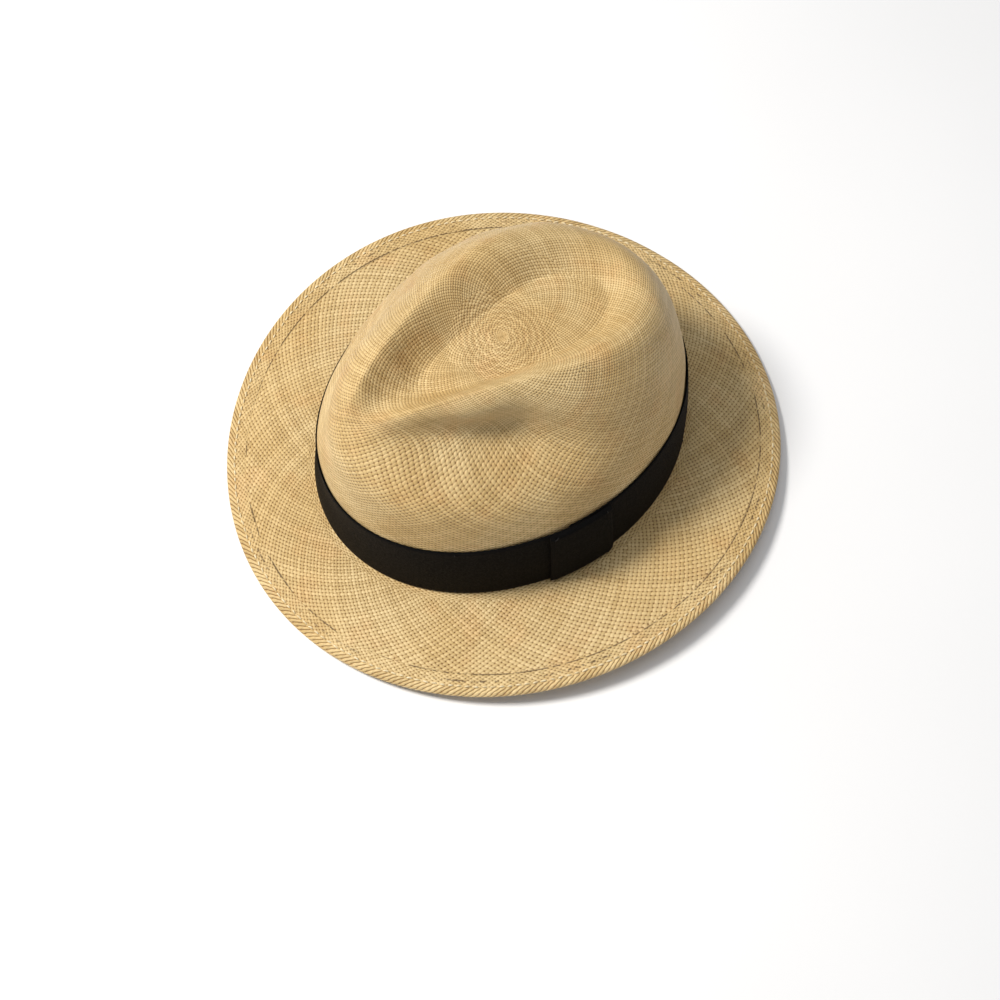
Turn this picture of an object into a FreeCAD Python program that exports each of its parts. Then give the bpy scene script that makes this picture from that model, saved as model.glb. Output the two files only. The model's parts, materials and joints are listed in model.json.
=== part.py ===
import FreeCAD, Part
import Sketcher
import math
import os

# Panama hat with a teardrop crown: one woven straw body, a grosgrain hat band with a flat bow,
# and a leather sweatband with its reed inside. Millimetres. The wearer looks along -Y, the
# wearer's left is +X, and the brim stands on the plane Z = 0 at its front and back.

DIMENSIONS = {
    "head_length": 204.0, "head_width": 172.0,
    "head_line_height": 8.7, "head_line_side_rise": 2.9, "head_line_pitch": 1.6,
    "straw_thickness": 1.3,
    "crown_height": 112.3, "crown_top_shift": 3.3, "crown_front_narrowing": 0.012,
    "taper_side": 0.349, "taper_front": 0.057, "taper_back": 0.118,
    "shoulder_side": 4.43, "shoulder_front": 5.55, "shoulder_back": 2.79,
    "dome_side": 4.24, "dome_front": 7.07, "dome_back": 4.53,
    "crease_front": 94.0, "crease_back": 91.0, "crease_half_width": 36.5,
    "crease_flare": 29.0, "crease_tip": 0.25, "crease_offset": 1.0,
    "crease_wall_left": 0.46, "crease_wall_right": 0.62, "crease_wall_back": 0.30,
    "crease_fold": 0.6, "crease_floor_height": 102.5, "crease_middle": -15.0,
    "crease_sag_side": 1.0, "crease_sag_front": 2.5, "crease_sag_back": 4.5,
    "dent_left_depth": 27.0, "dent_left_angle": 45.0, "dent_left_spread": 41.0,
    "dent_left_height": 98.0, "dent_left_above": 18.0, "dent_left_below": 12.5,
    "dent_left_climb": 7.5, "dent_left_square": 3.0,
    "dent_right_depth": 14.0, "dent_right_angle": 46.0, "dent_right_spread": 32.0,
    "dent_right_height": 86.0, "dent_right_above": 34.0, "dent_right_below": 24.0,
    "dent_right_climb": 0.0, "dent_right_square": 2.0,
    "drawn_in_depth": 6.0, "drawn_in_angle": 55.0, "drawn_in_spread": 45.0,
    "drawn_in_height": 37.0, "drawn_in_above": 17.0, "drawn_in_below": 15.0,
    "drawn_in_climb": 0.0, "drawn_in_square": 2.0,
    "brim_width": 51.9, "brim_side_extra": 4.9, "brim_left_extra": 1.9,
    "edge_height": 2.6, "edge_side_rise": 11.3, "brim_break_radius": 2.0,
    "hem_width": 11.5, "hem_thickness": 2.6,
    "hem_stitch_inset": 4.5, "hem_stitch_pitch": 4.2, "hem_stitch_length": 2.3,
    "hem_stitch_diameter": 0.7,
    "ribbon_width": 39.6, "ribbon_lift": 1.4, "ribbon_thickness": 0.7, "ribbon_gap": 0.3,
    "ribbon_lap": 12.0,
    "bow_angle": -7.0, "bow_length": 35.0, "bow_overhang": 0.9, "bow_thickness": 1.6,
    "tack_length": 1.6, "tack_diameter": 0.5,
    "sweatband_height": 36.0, "sweatband_thickness": 1.0, "sweatband_gap": 0.6,
    "sweatband_foot": 3.4,
    "reed_diameter": 1.6, "reed_gap": 0.15, "binding_thickness": 0.4,
    "sweat_stitch_pitch": 6.0, "sweat_stitch_length": 2.6, "sweat_stitch_diameter": 0.5,
    "join_bow_length": 22.0, "join_bow_height": 9.0, "join_bow_waist": 3.0,
    "join_bow_thickness": 0.9, "join_bow_rise": 12.0,
    "tag_length": 26.0, "tag_height": 14.0, "tag_thickness": 0.3, "tag_corner": 1.5,
    "tag_rise": 19.0,
}

RING_POINTS = 72        # points round each outline of the straw
CROWN_RINGS = 34        # outlines from the middle of the crown to the head line
PROFILE_STEPS = 160     # steps used to measure a crown profile's length
MIDDLE_RADIUS = 14.0    # the dents do not reach this close to the crown's middle
MIDDLE_BLEND = 24.0     # distance over which they fade in from there
NARROWEST_CREASE = 5.0  # half width of the hollow at its front tip
FLOOR_HALF_WIDTH = 28.0   # where the floor has sunk by its sideways sag
FLOOR_HALF_LENGTH = 55.0  # where it has sunk by its front and back sags
BRIM_CURL = 0.35        # how much of the brim's rise is a straight slope, the rest being a curve
BRIM_SHARES = (0.2, 0.35, 0.5, 0.65, 0.79, 0.9, 1.0)   # outlines of the brim beyond its break
BAND_STEPS = 96         # steps round the ribbon
BOW_STEPS = 14          # steps along the flat bow
LAP_BLEND = 0.25        # radians over which the ribbon rises to lap over its start
CLEAR = 0.1             # gap left between two layers of ribbon
THREAD_CLEAR = 0.05     # gap left between a stitch and what it lies on
TACK_EDGE = 2.0         # from the ribbon's edges to its tacks
BOW_TACK_EDGE = 1.5     # from the ribbon's edges to the bow's tacks
BOW_TACK_INSET = 0.03   # radians from the bow's ends to its tacks
BAND_TACK_ANGLES = (-150, -90, -45, 45, 90, 150)
SKETCH_DEPTH = 3.0      # first guess of the reed's distance inside the head oval

doc = FreeCAD.newDocument("panama_hat")


def make_sheet():
    """Put each driving dimension in the spreadsheet, with its name beside it and as its alias."""
    sheet = doc.addObject("Spreadsheet::Sheet", "Dimensions")
    for row, (name, value) in enumerate(DIMENSIONS.items(), start=1):
        sheet.set("A%d" % row, name)
        sheet.set("B%d" % row, str(value))
        sheet.setAlias("B%d" % row, name)
    doc.recompute()
    return sheet


sheet = make_sheet()


def size(name):
    """Read one driving dimension back from the spreadsheet."""
    return float(sheet.get(name))


HALF_LENGTH = size("head_length") / 2
HALF_WIDTH = size("head_width") / 2
STRAW = size("straw_thickness")


# ---------------------------------------------------------------- the straw surface as a formula

def by_direction(angle, side, front, back):
    """Blend a value from the sides to the front or back of the hat."""
    end = front if math.sin(angle) < 0 else back
    return side * math.cos(angle) ** 2 + end * math.sin(angle) ** 2


def smooth(value):
    """Rise smoothly from 0 to 1 as value does."""
    value = min(max(value, 0.0), 1.0)
    return value * value * (3 - 2 * value)


def head_line_z(angle):
    """Height of the crease between crown and brim."""
    return (size("head_line_height") + size("head_line_side_rise") * math.cos(angle) ** 2
            - size("head_line_pitch") * math.sin(angle))


def outward(angle):
    """Unit normal of the head oval, in plan."""
    along_x = HALF_LENGTH * math.cos(angle)
    along_y = HALF_WIDTH * math.sin(angle)
    length = math.hypot(along_x, along_y)
    return along_x / length, along_y / length


def block_point(angle, turn):
    """A point of the open crown before it is creased: turn runs from 0 on top to 90 degrees."""
    shoulder = by_direction(angle, size("shoulder_side"), size("shoulder_front"),
                            size("shoulder_back"))
    dome = by_direction(angle, size("dome_side"), size("dome_front"), size("dome_back"))
    taper = by_direction(angle, size("taper_side"), size("taper_front"), size("taper_back"))
    spread = math.sin(turn) ** (2 / shoulder)
    rise = max(math.cos(turn), 0.0) ** (2 / dome)
    spread *= 1 - taper * rise ** 2
    x = HALF_WIDTH * spread * math.cos(angle)
    x *= 1 + size("crown_front_narrowing") * rise * math.sin(angle)
    y = HALF_LENGTH * spread * math.sin(angle) + size("crown_top_shift") * rise
    foot = head_line_z(angle)
    top = size("head_line_height") + size("crown_height")
    return x, y, foot + (top - foot) * rise


def pinch(angle, x, y, z):
    """Press in the two thumb dents, and draw the wall in under the ribbon at the wearer's right."""
    for side, name in ((1, "dent_left_"), (-1, "dent_right_"), (-1, "drawn_in_")):
        centre = math.radians(-90 + side * size(name + "angle"))
        away = math.remainder(angle - centre, 2 * math.pi) / math.radians(size(name + "spread"))
        up = z - size(name + "height") + side * size(name + "climb") * away
        tall = size(name + "above") if up > 0 else size(name + "below")
        fade = abs(away) ** size(name + "square") + (up / tall) ** 2
        radius = math.hypot(x, y)
        if radius > 1:
            push = size(name + "depth") * math.exp(-fade)
            keep = 1 - push / radius * smooth((radius - MIDDLE_RADIUS) / MIDDLE_BLEND)
            x *= keep
            y *= keep
    return x, y


def crease_share(x, y):
    """How far the teardrop hollow has pulled a point down: 0 on its rim, 1 on its floor."""
    front, back = -size("crease_front"), size("crease_back")
    along = (y - (front + back) / 2) / ((back - front) / 2)
    half_width = max(size("crease_half_width") + size("crease_flare") * along, NARROWEST_CREASE)
    half_width *= 1 + size("crease_tip") * min(along, 0.0) ** 2
    bend = size("crease_offset") * math.cos(min(abs(along), 1.0) * math.pi / 2)
    across = (x + bend) / half_width
    reach = max(math.hypot(across, along), 0.001)
    left, right = size("crease_wall_left"), size("crease_wall_right")
    side_wall = left if across > 0 else right
    end_wall = size("crease_wall_back") if along > 0 else (left + right) / 2
    sideways = (across / reach) ** 2
    wall = side_wall * sideways + end_wall * (1 - sideways)
    inside = min(max((1 - reach) / wall, 0.0), 1.0)
    return size("crease_fold") * inside + (1 - size("crease_fold")) * smooth(inside)


def crease(x, y, z):
    """Lower the top of the crown into the teardrop hollow with its raised middle."""
    share = crease_share(x, y)
    lengthwise = (y - size("crease_middle")) / FLOOR_HALF_LENGTH
    sag = size("crease_sag_front") if lengthwise < 0 else size("crease_sag_back")
    floor = (size("crease_floor_height") - sag * lengthwise ** 2
             - size("crease_sag_side") * (x / FLOOR_HALF_WIDTH) ** 2)
    return z * (1 - share) + min(floor, z) * share


def crown_profile(angle, fractions):
    """Points of the outside of the crown at these fractions of the way from top to head line."""
    turns = [math.pi / 2 * smooth(i / PROFILE_STEPS) for i in range(PROFILE_STEPS + 1)]
    block = [block_point(angle, turn) for turn in turns]
    walked = [0.0]
    for before, after in zip(block, block[1:]):
        walked.append(walked[-1] + math.dist(before, after))
    points = []
    step = 0
    for fraction in fractions:
        target = fraction * walked[-1]
        while walked[step + 1] < target and step < PROFILE_STEPS - 1:
            step += 1
        share = (target - walked[step]) / (walked[step + 1] - walked[step])
        x, y, z = (a + (b - a) * share for a, b in zip(block[step], block[step + 1]))
        x, y = pinch(angle, x, y, z)
        points.append(FreeCAD.Vector(x, y, crease(x, y, z)))
    return points


def brim_point(angle, share):
    """A point of the top of the brim: share runs from 0 at the head line to 1 at the edge."""
    nx, ny = outward(angle)
    foot = head_line_z(angle)
    edge = size("edge_height") + size("edge_side_rise") * math.cos(angle) ** 2
    slant = (size("brim_width") + size("brim_left_extra") * math.cos(angle)
             + size("brim_side_extra") * math.cos(2 * angle))
    reach = math.sqrt(slant ** 2 - (edge - foot) ** 2) * share
    return FreeCAD.Vector(HALF_WIDTH * math.cos(angle) + nx * reach,
                          HALF_LENGTH * math.sin(angle) + ny * reach,
                          foot + (edge - foot) * (BRIM_CURL * share + (1 - BRIM_CURL) * share ** 2))


def wall_point(angle, height, offset):
    """A point beside the crown's wall, this far above the head line and out from the straw."""
    low, high = 0.5, 1.0
    foot = head_line_z(angle)
    for _ in range(24):
        middle = (low + high) / 2
        x, y, z = block_point(angle, math.pi / 2 * smooth(middle))
        if z - foot > height:
            low = middle
        else:
            high = middle
    x, y = pinch(angle, x, y, z)
    nx, ny = outward(angle)
    return FreeCAD.Vector(x + nx * offset, y + ny * offset, foot + height)


# ---------------------------------------------------------------- solids from outlines

def closed_edge(points):
    """A smooth closed curve through points spaced evenly in its parameter."""
    count = len(points)
    curve = Part.BSplineCurve()
    curve.interpolate(Points=points, PeriodicFlag=True,
                      Parameters=[i / count for i in range(count + 1)])
    return curve.toShape()


def open_edge(points):
    """A smooth open curve through points spaced evenly in its parameter."""
    curve = Part.BSplineCurve()
    curve.interpolate(Points=points, Parameters=[i / (len(points) - 1) for i in range(len(points))])
    return curve.toShape()


def solid_from(pieces, name):
    """Sew faces into one closed solid with its volume positive."""
    shell = Part.makeShell([face for piece in pieces for face in piece.Faces])
    shell.sewShape()
    shell = shell.Shells[0]
    if not shell.isClosed():
        raise RuntimeError(name + ": the faces do not close")
    solid = Part.makeSolid(shell)
    if solid.Volume < 0:
        solid.reverse()
    return solid


def sheet_solid(outer, inner, name, closed):
    """A bent sheet between two stacks of outlines, which go once round or have two ends."""
    make_edge = closed_edge if closed else open_edge
    edges = [make_edge(line) for line in outer + inner[::-1]]
    pairs = zip(edges, edges[1:] + edges[:1])
    faces = [Part.makeRuledSurface(first, second) for first, second in pairs]
    if not closed:
        for end in (0, -1):
            across = [Part.makeLine(a[end], b[end]) for a, b in zip(outer, inner)]
            for low, high in zip(across, across[1:]):
                faces.append(Part.makeRuledSurface(low, high))
    return solid_from(faces, name)


def feature(label, shape):
    """Keep a shape as an object of the document."""
    item = doc.addObject("Part::Feature", label)
    item.Label = label
    item.Shape = shape
    item.Placement = FreeCAD.Placement()
    return item


def angles(count):
    """Evenly spaced angles once round the hat."""
    return [2 * math.pi * i / count for i in range(count)]


# ---------------------------------------------------------------- the woven straw body

def outer_rings():
    """Outlines of the outside of the straw, from the middle of the crown to the brim's edge."""
    break_radius = size("brim_break_radius")
    profile_length = size("crown_height") + HALF_WIDTH
    last = 1 - break_radius / profile_length
    fractions = [last * (i + 0.6) / (CROWN_RINGS - 0.4) for i in range(CROWN_RINGS)]
    columns = [crown_profile(angle, fractions) for angle in angles(RING_POINTS)]
    rings = [list(ring) for ring in zip(*columns)]
    start = break_radius / size("brim_width")
    bend = 0.3
    lift = FreeCAD.Vector(0, 0, bend * break_radius)
    rings.append([brim_point(angle, bend * start) + lift for angle in angles(RING_POINTS)])
    for share in (start,) + BRIM_SHARES:
        rings.append([brim_point(angle, share) for angle in angles(RING_POINTS)])
    middle = rings[0]
    height = sum(point.z for point in middle) / len(middle)
    rings[0] = [FreeCAD.Vector(point.x, point.y, height) for point in middle]
    return rings


def inward(rings, row, column, depth):
    """The point this deep below the outside of the straw, along its normal."""
    count = len(rings[row])
    before = rings[max(row - 1, 0)][column]
    after = rings[min(row + 1, len(rings) - 1)][column]
    left = rings[row][column - 1]
    right = rings[row][(column + 1) % count]
    normal = (after - before).cross(right - left).normalize()
    return rings[row][column] - normal * depth


def skin(rings):
    """One smooth face through closed outlines."""
    wires = [Part.Wire(closed_edge(ring)) for ring in rings]
    return Part.makeLoft(wires, False, False)


def woven_body():
    """Crown and brim in one, with the hem folded under at the edge."""
    outside = outer_rings()
    columns = range(RING_POINTS)
    inside = [[inward(outside, row, column, STRAW) for column in columns]
              for row in range(len(outside))]
    flat = sum(point.z for point in inside[0]) / RING_POINTS
    inside[0] = [FreeCAD.Vector(point.x, point.y, flat) for point in inside[0]]
    hem_share = 1 - size("hem_width") / size("brim_width")
    hem_top = [brim_point(angle, hem_share) for angle in angles(RING_POINTS)]
    rows = outside[:-3] + [hem_top]
    under = [[inward(rows, len(rows) - 1, column, STRAW) for column in columns]]
    hem_rows = [hem_top, outside[-2], outside[-1]]
    folded = [[inward(hem_rows, row, column, size("hem_thickness")) for column in columns]
              for row in range(3)]
    faces = [skin(outside), skin(inside[:-3] + under)]
    for upper, lower in ((under[0], folded[0]), (folded[0], folded[1]), (folded[1], folded[2]),
                         (folded[2], outside[-1])):
        faces.append(Part.makeRuledSurface(closed_edge(upper), closed_edge(lower)))
    for middle in (outside[0], inside[0]):
        faces.append(Part.Face(Part.Wire(closed_edge(middle))))
    return feature("woven_body", solid_from(faces, "woven_body"))


# ---------------------------------------------------------------- ribbon and stitches

WALL_LEVELS = 5         # heights at which a sheet on the crown's wall is fitted to it


def levels(low, high):
    """Evenly spaced heights from low to high."""
    return [low + (high - low) * i / (WALL_LEVELS - 1) for i in range(WALL_LEVELS)]


def arc_angle(start, length):
    """The angle this length along the head oval from start."""
    angle, walked = start, 0.0
    step = math.radians(0.25) * math.copysign(1, length)
    while walked < abs(length):
        walked += math.hypot(HALF_WIDTH * math.sin(angle), HALF_LENGTH * math.cos(angle)) * abs(step)
        angle += step
    return angle


def hat_band():
    """The ribbon round the crown, whose last stretch laps over its start behind the bow."""
    start = arc_angle(math.radians(size("bow_angle")), -size("ribbon_lap") / 2)
    turn = 2 * math.pi + size("ribbon_lap") / HALF_LENGTH
    thickness = size("ribbon_thickness")
    stacks = []
    for side in (thickness, 0.0):
        stack = []
        for height in levels(size("ribbon_lift"), size("ribbon_lift") + size("ribbon_width")):
            line = []
            for i in range(BAND_STEPS + 1):
                walked = turn * i / BAND_STEPS
                lapped = smooth((walked - 2 * math.pi + LAP_BLEND) / LAP_BLEND)
                offset = size("ribbon_gap") + side + lapped * (thickness + CLEAR)
                line.append(wall_point(start + walked, height, offset))
            stack.append(line)
        stacks.append(stack)
    return feature("hat_band", sheet_solid(stacks[0], stacks[1], "hat_band", False))


def bow_ends():
    """Angles at which the flat bow starts and ends."""
    middle = math.radians(size("bow_angle"))
    half = size("bow_length") / 2
    return arc_angle(middle, -half), arc_angle(middle, half)


def bow_floor():
    """Distance from the straw to the back of the flat bow."""
    return 2 * size("ribbon_gap") + 2 * size("ribbon_thickness") + CLEAR


def flat_bow():
    """The folded ribbon that covers the lap: two layers pressed into one flat piece."""
    first, last = bow_ends()
    low = size("ribbon_lift") - size("bow_overhang")
    high = size("ribbon_lift") + size("ribbon_width") + size("bow_overhang") / 2
    stacks = []
    for offset in (bow_floor() + size("bow_thickness"), bow_floor()):
        stacks.append([[wall_point(first + (last - first) * i / BOW_STEPS, height, offset)
                        for i in range(BOW_STEPS + 1)] for height in levels(low, high)])
    return feature("flat_bow", sheet_solid(stacks[0], stacks[1], "flat_bow", False))


def stitch(centre, direction, length, diameter):
    """One visible stitch: a short thread lying along direction."""
    direction.normalize()
    return Part.makeCylinder(diameter / 2, length, centre - direction * (length / 2), direction)


def even_angles(count, line):
    """Angles that divide a closed line, a function of angle, into equal lengths."""
    fine = 1440
    points = [line(2 * math.pi * i / fine) for i in range(fine + 1)]
    walked = [0.0]
    for before, after in zip(points, points[1:]):
        walked.append(walked[-1] + before.distanceToPoint(after))
    found = []
    step = 0
    for i in range(count):
        while walked[step] < walked[-1] * i / count:
            step += 1
        found.append(2 * math.pi * step / fine)
    return found


def stitch_ring(line, pitch, length, diameter):
    """Stitches end to end round a closed line, a function of angle."""
    fine = [line(angle) for angle in angles(360)]
    around = sum(a.distanceToPoint(b) for a, b in zip(fine, fine[1:] + fine[:1]))
    small = 0.01
    return [stitch(line(angle), line(angle + small) - line(angle - small), length, diameter)
            for angle in even_angles(round(around / pitch), line)]


def hem_stitches():
    """The row of light stitches on top of the brim's folded edge."""
    diameter = size("hem_stitch_diameter")
    share = 1 - size("hem_stitch_inset") / size("brim_width")
    lift = FreeCAD.Vector(0, 0, diameter / 2 + THREAD_CLEAR)
    row = stitch_ring(lambda angle: brim_point(angle, share) + lift, size("hem_stitch_pitch"),
                      size("hem_stitch_length"), diameter)
    return feature("hem_stitches", Part.makeCompound(row))


def tack(angle, height, offset):
    """A small upright stitch on the outside of the ribbon."""
    radius = size("tack_diameter") / 2
    low = wall_point(angle, height - 1, offset + radius + THREAD_CLEAR)
    high = wall_point(angle, height + 1, offset + radius + THREAD_CLEAR)
    return stitch((low + high) / 2, high - low, size("tack_length"), size("tack_diameter"))


def band_tacks():
    """Tack stitches that hold the ribbon's two edges to the crown."""
    outside = size("ribbon_gap") + size("ribbon_thickness")
    low = size("ribbon_lift") + TACK_EDGE
    high = size("ribbon_lift") + size("ribbon_width") - TACK_EDGE
    places = [math.radians(angle) for angle in BAND_TACK_ANGLES]
    row = [tack(angle, height, outside) for angle in places for height in (low, high)]
    return feature("band_tacks", Part.makeCompound(row))


def bow_tacks():
    """Tack stitches at the corners of the flat bow."""
    first, last = bow_ends()
    low = size("ribbon_lift") + BOW_TACK_EDGE
    high = size("ribbon_lift") + size("ribbon_width") - BOW_TACK_EDGE
    outside = bow_floor() + size("bow_thickness")
    row = [tack(angle, height, outside)
           for angle in (first + BOW_TACK_INSET, last - BOW_TACK_INSET) for height in (low, high)]
    return feature("bow_tacks", Part.makeCompound(row))


# ---------------------------------------------------------------- sweatband and its fittings

def sweat_point(angle, rise, depth):
    """A point beside the inside of the crown's wall, this far above the sweatband's flat foot."""
    foot = (size("head_line_height") + size("head_line_side_rise") / 2
            - size("head_line_pitch") * math.sin(angle))
    height = foot + rise - head_line_z(angle)
    return wall_point(angle, height, -STRAW - size("sweatband_gap") - depth)


def sweatband():
    """The leather band that lies against the head."""
    low = size("sweatband_foot")
    heights = levels(low, low + size("sweatband_height"))
    stacks = [[[sweat_point(angle, rise, depth) for angle in angles(RING_POINTS)]
               for rise in heights] for depth in (0.0, size("sweatband_thickness"))]
    return feature("sweatband", sheet_solid(stacks[0], stacks[1], "sweatband", True))


def sweatband_stitches():
    """The row that sews the leather to its binding and to the straw."""
    diameter = size("sweat_stitch_diameter")
    depth = size("sweatband_thickness") + diameter / 2 + THREAD_CLEAR
    row = stitch_ring(lambda angle: sweat_point(angle, size("sweatband_foot") + 2, depth),
                      size("sweat_stitch_pitch"), size("sweat_stitch_length"), diameter)
    return feature("sweatband_stitches", Part.makeCompound(row))


def join_stitches():
    """The short upright row that closes the ends of the sweatband at the back."""
    diameter = size("sweat_stitch_diameter")
    depth = size("sweatband_thickness") + diameter / 2 + THREAD_CLEAR
    back = math.pi / 2
    row = []
    for i in range(5):
        rise = size("join_bow_rise") + 11 + 2.8 * i
        low = sweat_point(back, rise - 0.9, depth)
        high = sweat_point(back, rise + 0.9, depth)
        row.append(stitch((low + high) / 2, high - low, 1.8, diameter))
    return feature("join_stitches", Part.makeCompound(row))


def new_body(label):
    """A PartDesign body whose label names its piece."""
    body = doc.addObject("PartDesign::Body", label)
    body.Label = label
    return body


def new_sketch(body, name, role):
    """A sketch on one of the body's own origin planes."""
    sketch = body.newObject("Sketcher::SketchObject", name)
    plane = next(item for item in body.Origin.OriginFeatures if item.Role == role)
    sketch.AttachmentSupport = [(plane, "")]
    sketch.MapMode = "FlatFace"
    return sketch


def dimension(sketch, name, expression, kind, *arguments):
    """Add a constraint and bind it to the spreadsheet."""
    number = sketch.addConstraint(Sketcher.Constraint(kind, *arguments))
    sketch.renameConstraint(number, name)
    sketch.setExpression("Constraints." + name, expression)


def foot_placement():
    """The plane of the sweatband's foot: raised, and pitched with the head line."""
    pitch = math.degrees(math.atan2(size("head_line_pitch"), HALF_LENGTH))
    height = size("head_line_height") + size("head_line_side_rise") / 2
    return FreeCAD.Placement(FreeCAD.Vector(0, 0, height),
                             FreeCAD.Rotation(FreeCAD.Vector(1, 0, 0), -pitch))


REED_DEPTH = ("(Dimensions.straw_thickness + Dimensions.sweatband_gap"
              " + Dimensions.reed_diameter / 2 + Dimensions.reed_gap"
              " + Dimensions.binding_thickness)")
REED_RISE = "(Dimensions.sweatband_foot - Dimensions.reed_diameter / 2 - 0.8)"


def oval_path(body, name):
    """The oval that the reed and its binding follow, as a sketch in the foot's plane."""
    path = new_sketch(body, name, "XY_Plane")
    oval = Part.Ellipse(FreeCAD.Vector(0, HALF_LENGTH - SKETCH_DEPTH, 0),
                        FreeCAD.Vector(HALF_WIDTH - SKETCH_DEPTH, 0, 0), FreeCAD.Vector(0, 0, 0))
    curve = path.addGeometry(oval, False)
    first = path.GeometryCount
    path.exposeInternalGeometry(curve)
    path.addConstraint(Sketcher.Constraint("Coincident", curve, 3, -1, 1))
    dimension(path, "long_axis", "Dimensions.head_length - 2 * " + REED_DEPTH,
              "Distance", first, 2 * (HALF_LENGTH - SKETCH_DEPTH))
    dimension(path, "short_axis", "Dimensions.head_width - 2 * " + REED_DEPTH,
              "Distance", first + 1, 2 * (HALF_WIDTH - SKETCH_DEPTH))
    path.addConstraint(Sketcher.Constraint("Vertical", first))
    return path


def sweep(body, profile, path):
    """A PartDesign pipe of a profile along a path."""
    pipe = body.newObject("PartDesign::AdditivePipe", body.Label + "_pipe")
    pipe.Profile = profile
    pipe.Spine = path
    profile.Visibility = False
    return pipe


def sweatband_reed():
    """The round reed that stiffens the foot of the sweatband."""
    body = new_body("sweatband_reed")
    path = oval_path(body, "reed_path")
    profile = new_sketch(body, "reed_section", "XZ_Plane")
    centre = FreeCAD.Vector(HALF_WIDTH - SKETCH_DEPTH, 1.0, 0)
    radius = size("reed_diameter") / 2
    circle = profile.addGeometry(Part.Circle(centre, FreeCAD.Vector(0, 0, 1), radius), False)
    dimension(profile, "radius", "Dimensions.reed_diameter / 2", "Radius", circle, radius)
    dimension(profile, "reach", "Dimensions.head_width / 2 - " + REED_DEPTH,
              "DistanceX", -1, 1, circle, 3, centre.x)
    dimension(profile, "rise", REED_RISE, "DistanceY", -1, 1, circle, 3, centre.y)
    sweep(body, profile, path)
    body.Placement = foot_placement()
    return body


def reed_binding():
    """The cloth tape folded round the reed, open towards the sweatband."""
    body = new_body("reed_binding")
    path = oval_path(body, "binding_path")
    profile = new_sketch(body, "binding_section", "XZ_Plane")
    centre = FreeCAD.Vector(HALF_WIDTH - SKETCH_DEPTH, 1.0, 0)
    up = FreeCAD.Vector(0, 0, 1)
    half_gap = math.radians(25)
    inner = size("reed_diameter") / 2 + size("reed_gap")
    outer = inner + size("binding_thickness")
    start, end = math.pi / 2 + half_gap, 5 * math.pi / 2 - half_gap
    arcs = [profile.addGeometry(Part.ArcOfCircle(Part.Circle(centre, up, radius), start, end), False)
            for radius in (inner, outer)]
    ends = []
    for angle in (start, end):
        ray = FreeCAD.Vector(math.cos(angle), math.sin(angle), 0)
        ends.append(profile.addGeometry(Part.LineSegment(centre + ray * inner, centre + ray * outer),
                                        False))
    for line, point in zip(ends, (1, 2)):
        profile.addConstraint(Sketcher.Constraint("Coincident", line, 1, arcs[0], point))
        profile.addConstraint(Sketcher.Constraint("Coincident", line, 2, arcs[1], point))
    profile.addConstraint(Sketcher.Constraint("Coincident", arcs[0], 3, arcs[1], 3))
    inside = "Dimensions.reed_diameter / 2 + Dimensions.reed_gap"
    dimension(profile, "inner", inside, "Radius", arcs[0], inner)
    dimension(profile, "outer", inside + " + Dimensions.binding_thickness", "Radius", arcs[1], outer)
    dimension(profile, "reach", "Dimensions.head_width / 2 - " + REED_DEPTH,
              "DistanceX", -1, 1, arcs[0], 3, centre.x)
    dimension(profile, "rise", REED_RISE, "DistanceY", -1, 1, arcs[0], 3, centre.y)
    sweep(body, profile, path)
    body.Placement = foot_placement()
    return body


def inner_face(angle, rise, standoff):
    """A placement on the inside of the sweatband, its Z axis out of the leather to the head."""
    depth = size("sweatband_thickness") + standoff
    here = sweat_point(angle, rise, depth)
    up = sweat_point(angle, rise + 2, depth) - sweat_point(angle, rise - 2, depth)
    along = sweat_point(angle + 0.01, rise, depth) - sweat_point(angle - 0.01, rise, depth)
    out = along.cross(up)
    if out.x * math.cos(angle) + out.y * math.sin(angle) > 0:
        along = -along
        out = -out
    return FreeCAD.Placement(here, FreeCAD.Rotation(along, up, out, "ZYX"))


def pad(body, sketch, expression):
    """Pad a sketch by a bound thickness."""
    item = body.newObject("PartDesign::Pad", body.Label + "_pad")
    item.Profile = sketch
    item.setExpression("Length", expression)
    sketch.Visibility = False
    return item


def outline(sketch, corners):
    """Join corners with straight lines into a closed outline."""
    lines = [sketch.addGeometry(Part.LineSegment(a, b), False)
             for a, b in zip(corners, corners[1:] + corners[:1])]
    for i, line in enumerate(lines):
        following = lines[(i + 1) % len(lines)]
        sketch.addConstraint(Sketcher.Constraint("Coincident", line, 2, following, 1))
    return lines


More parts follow.
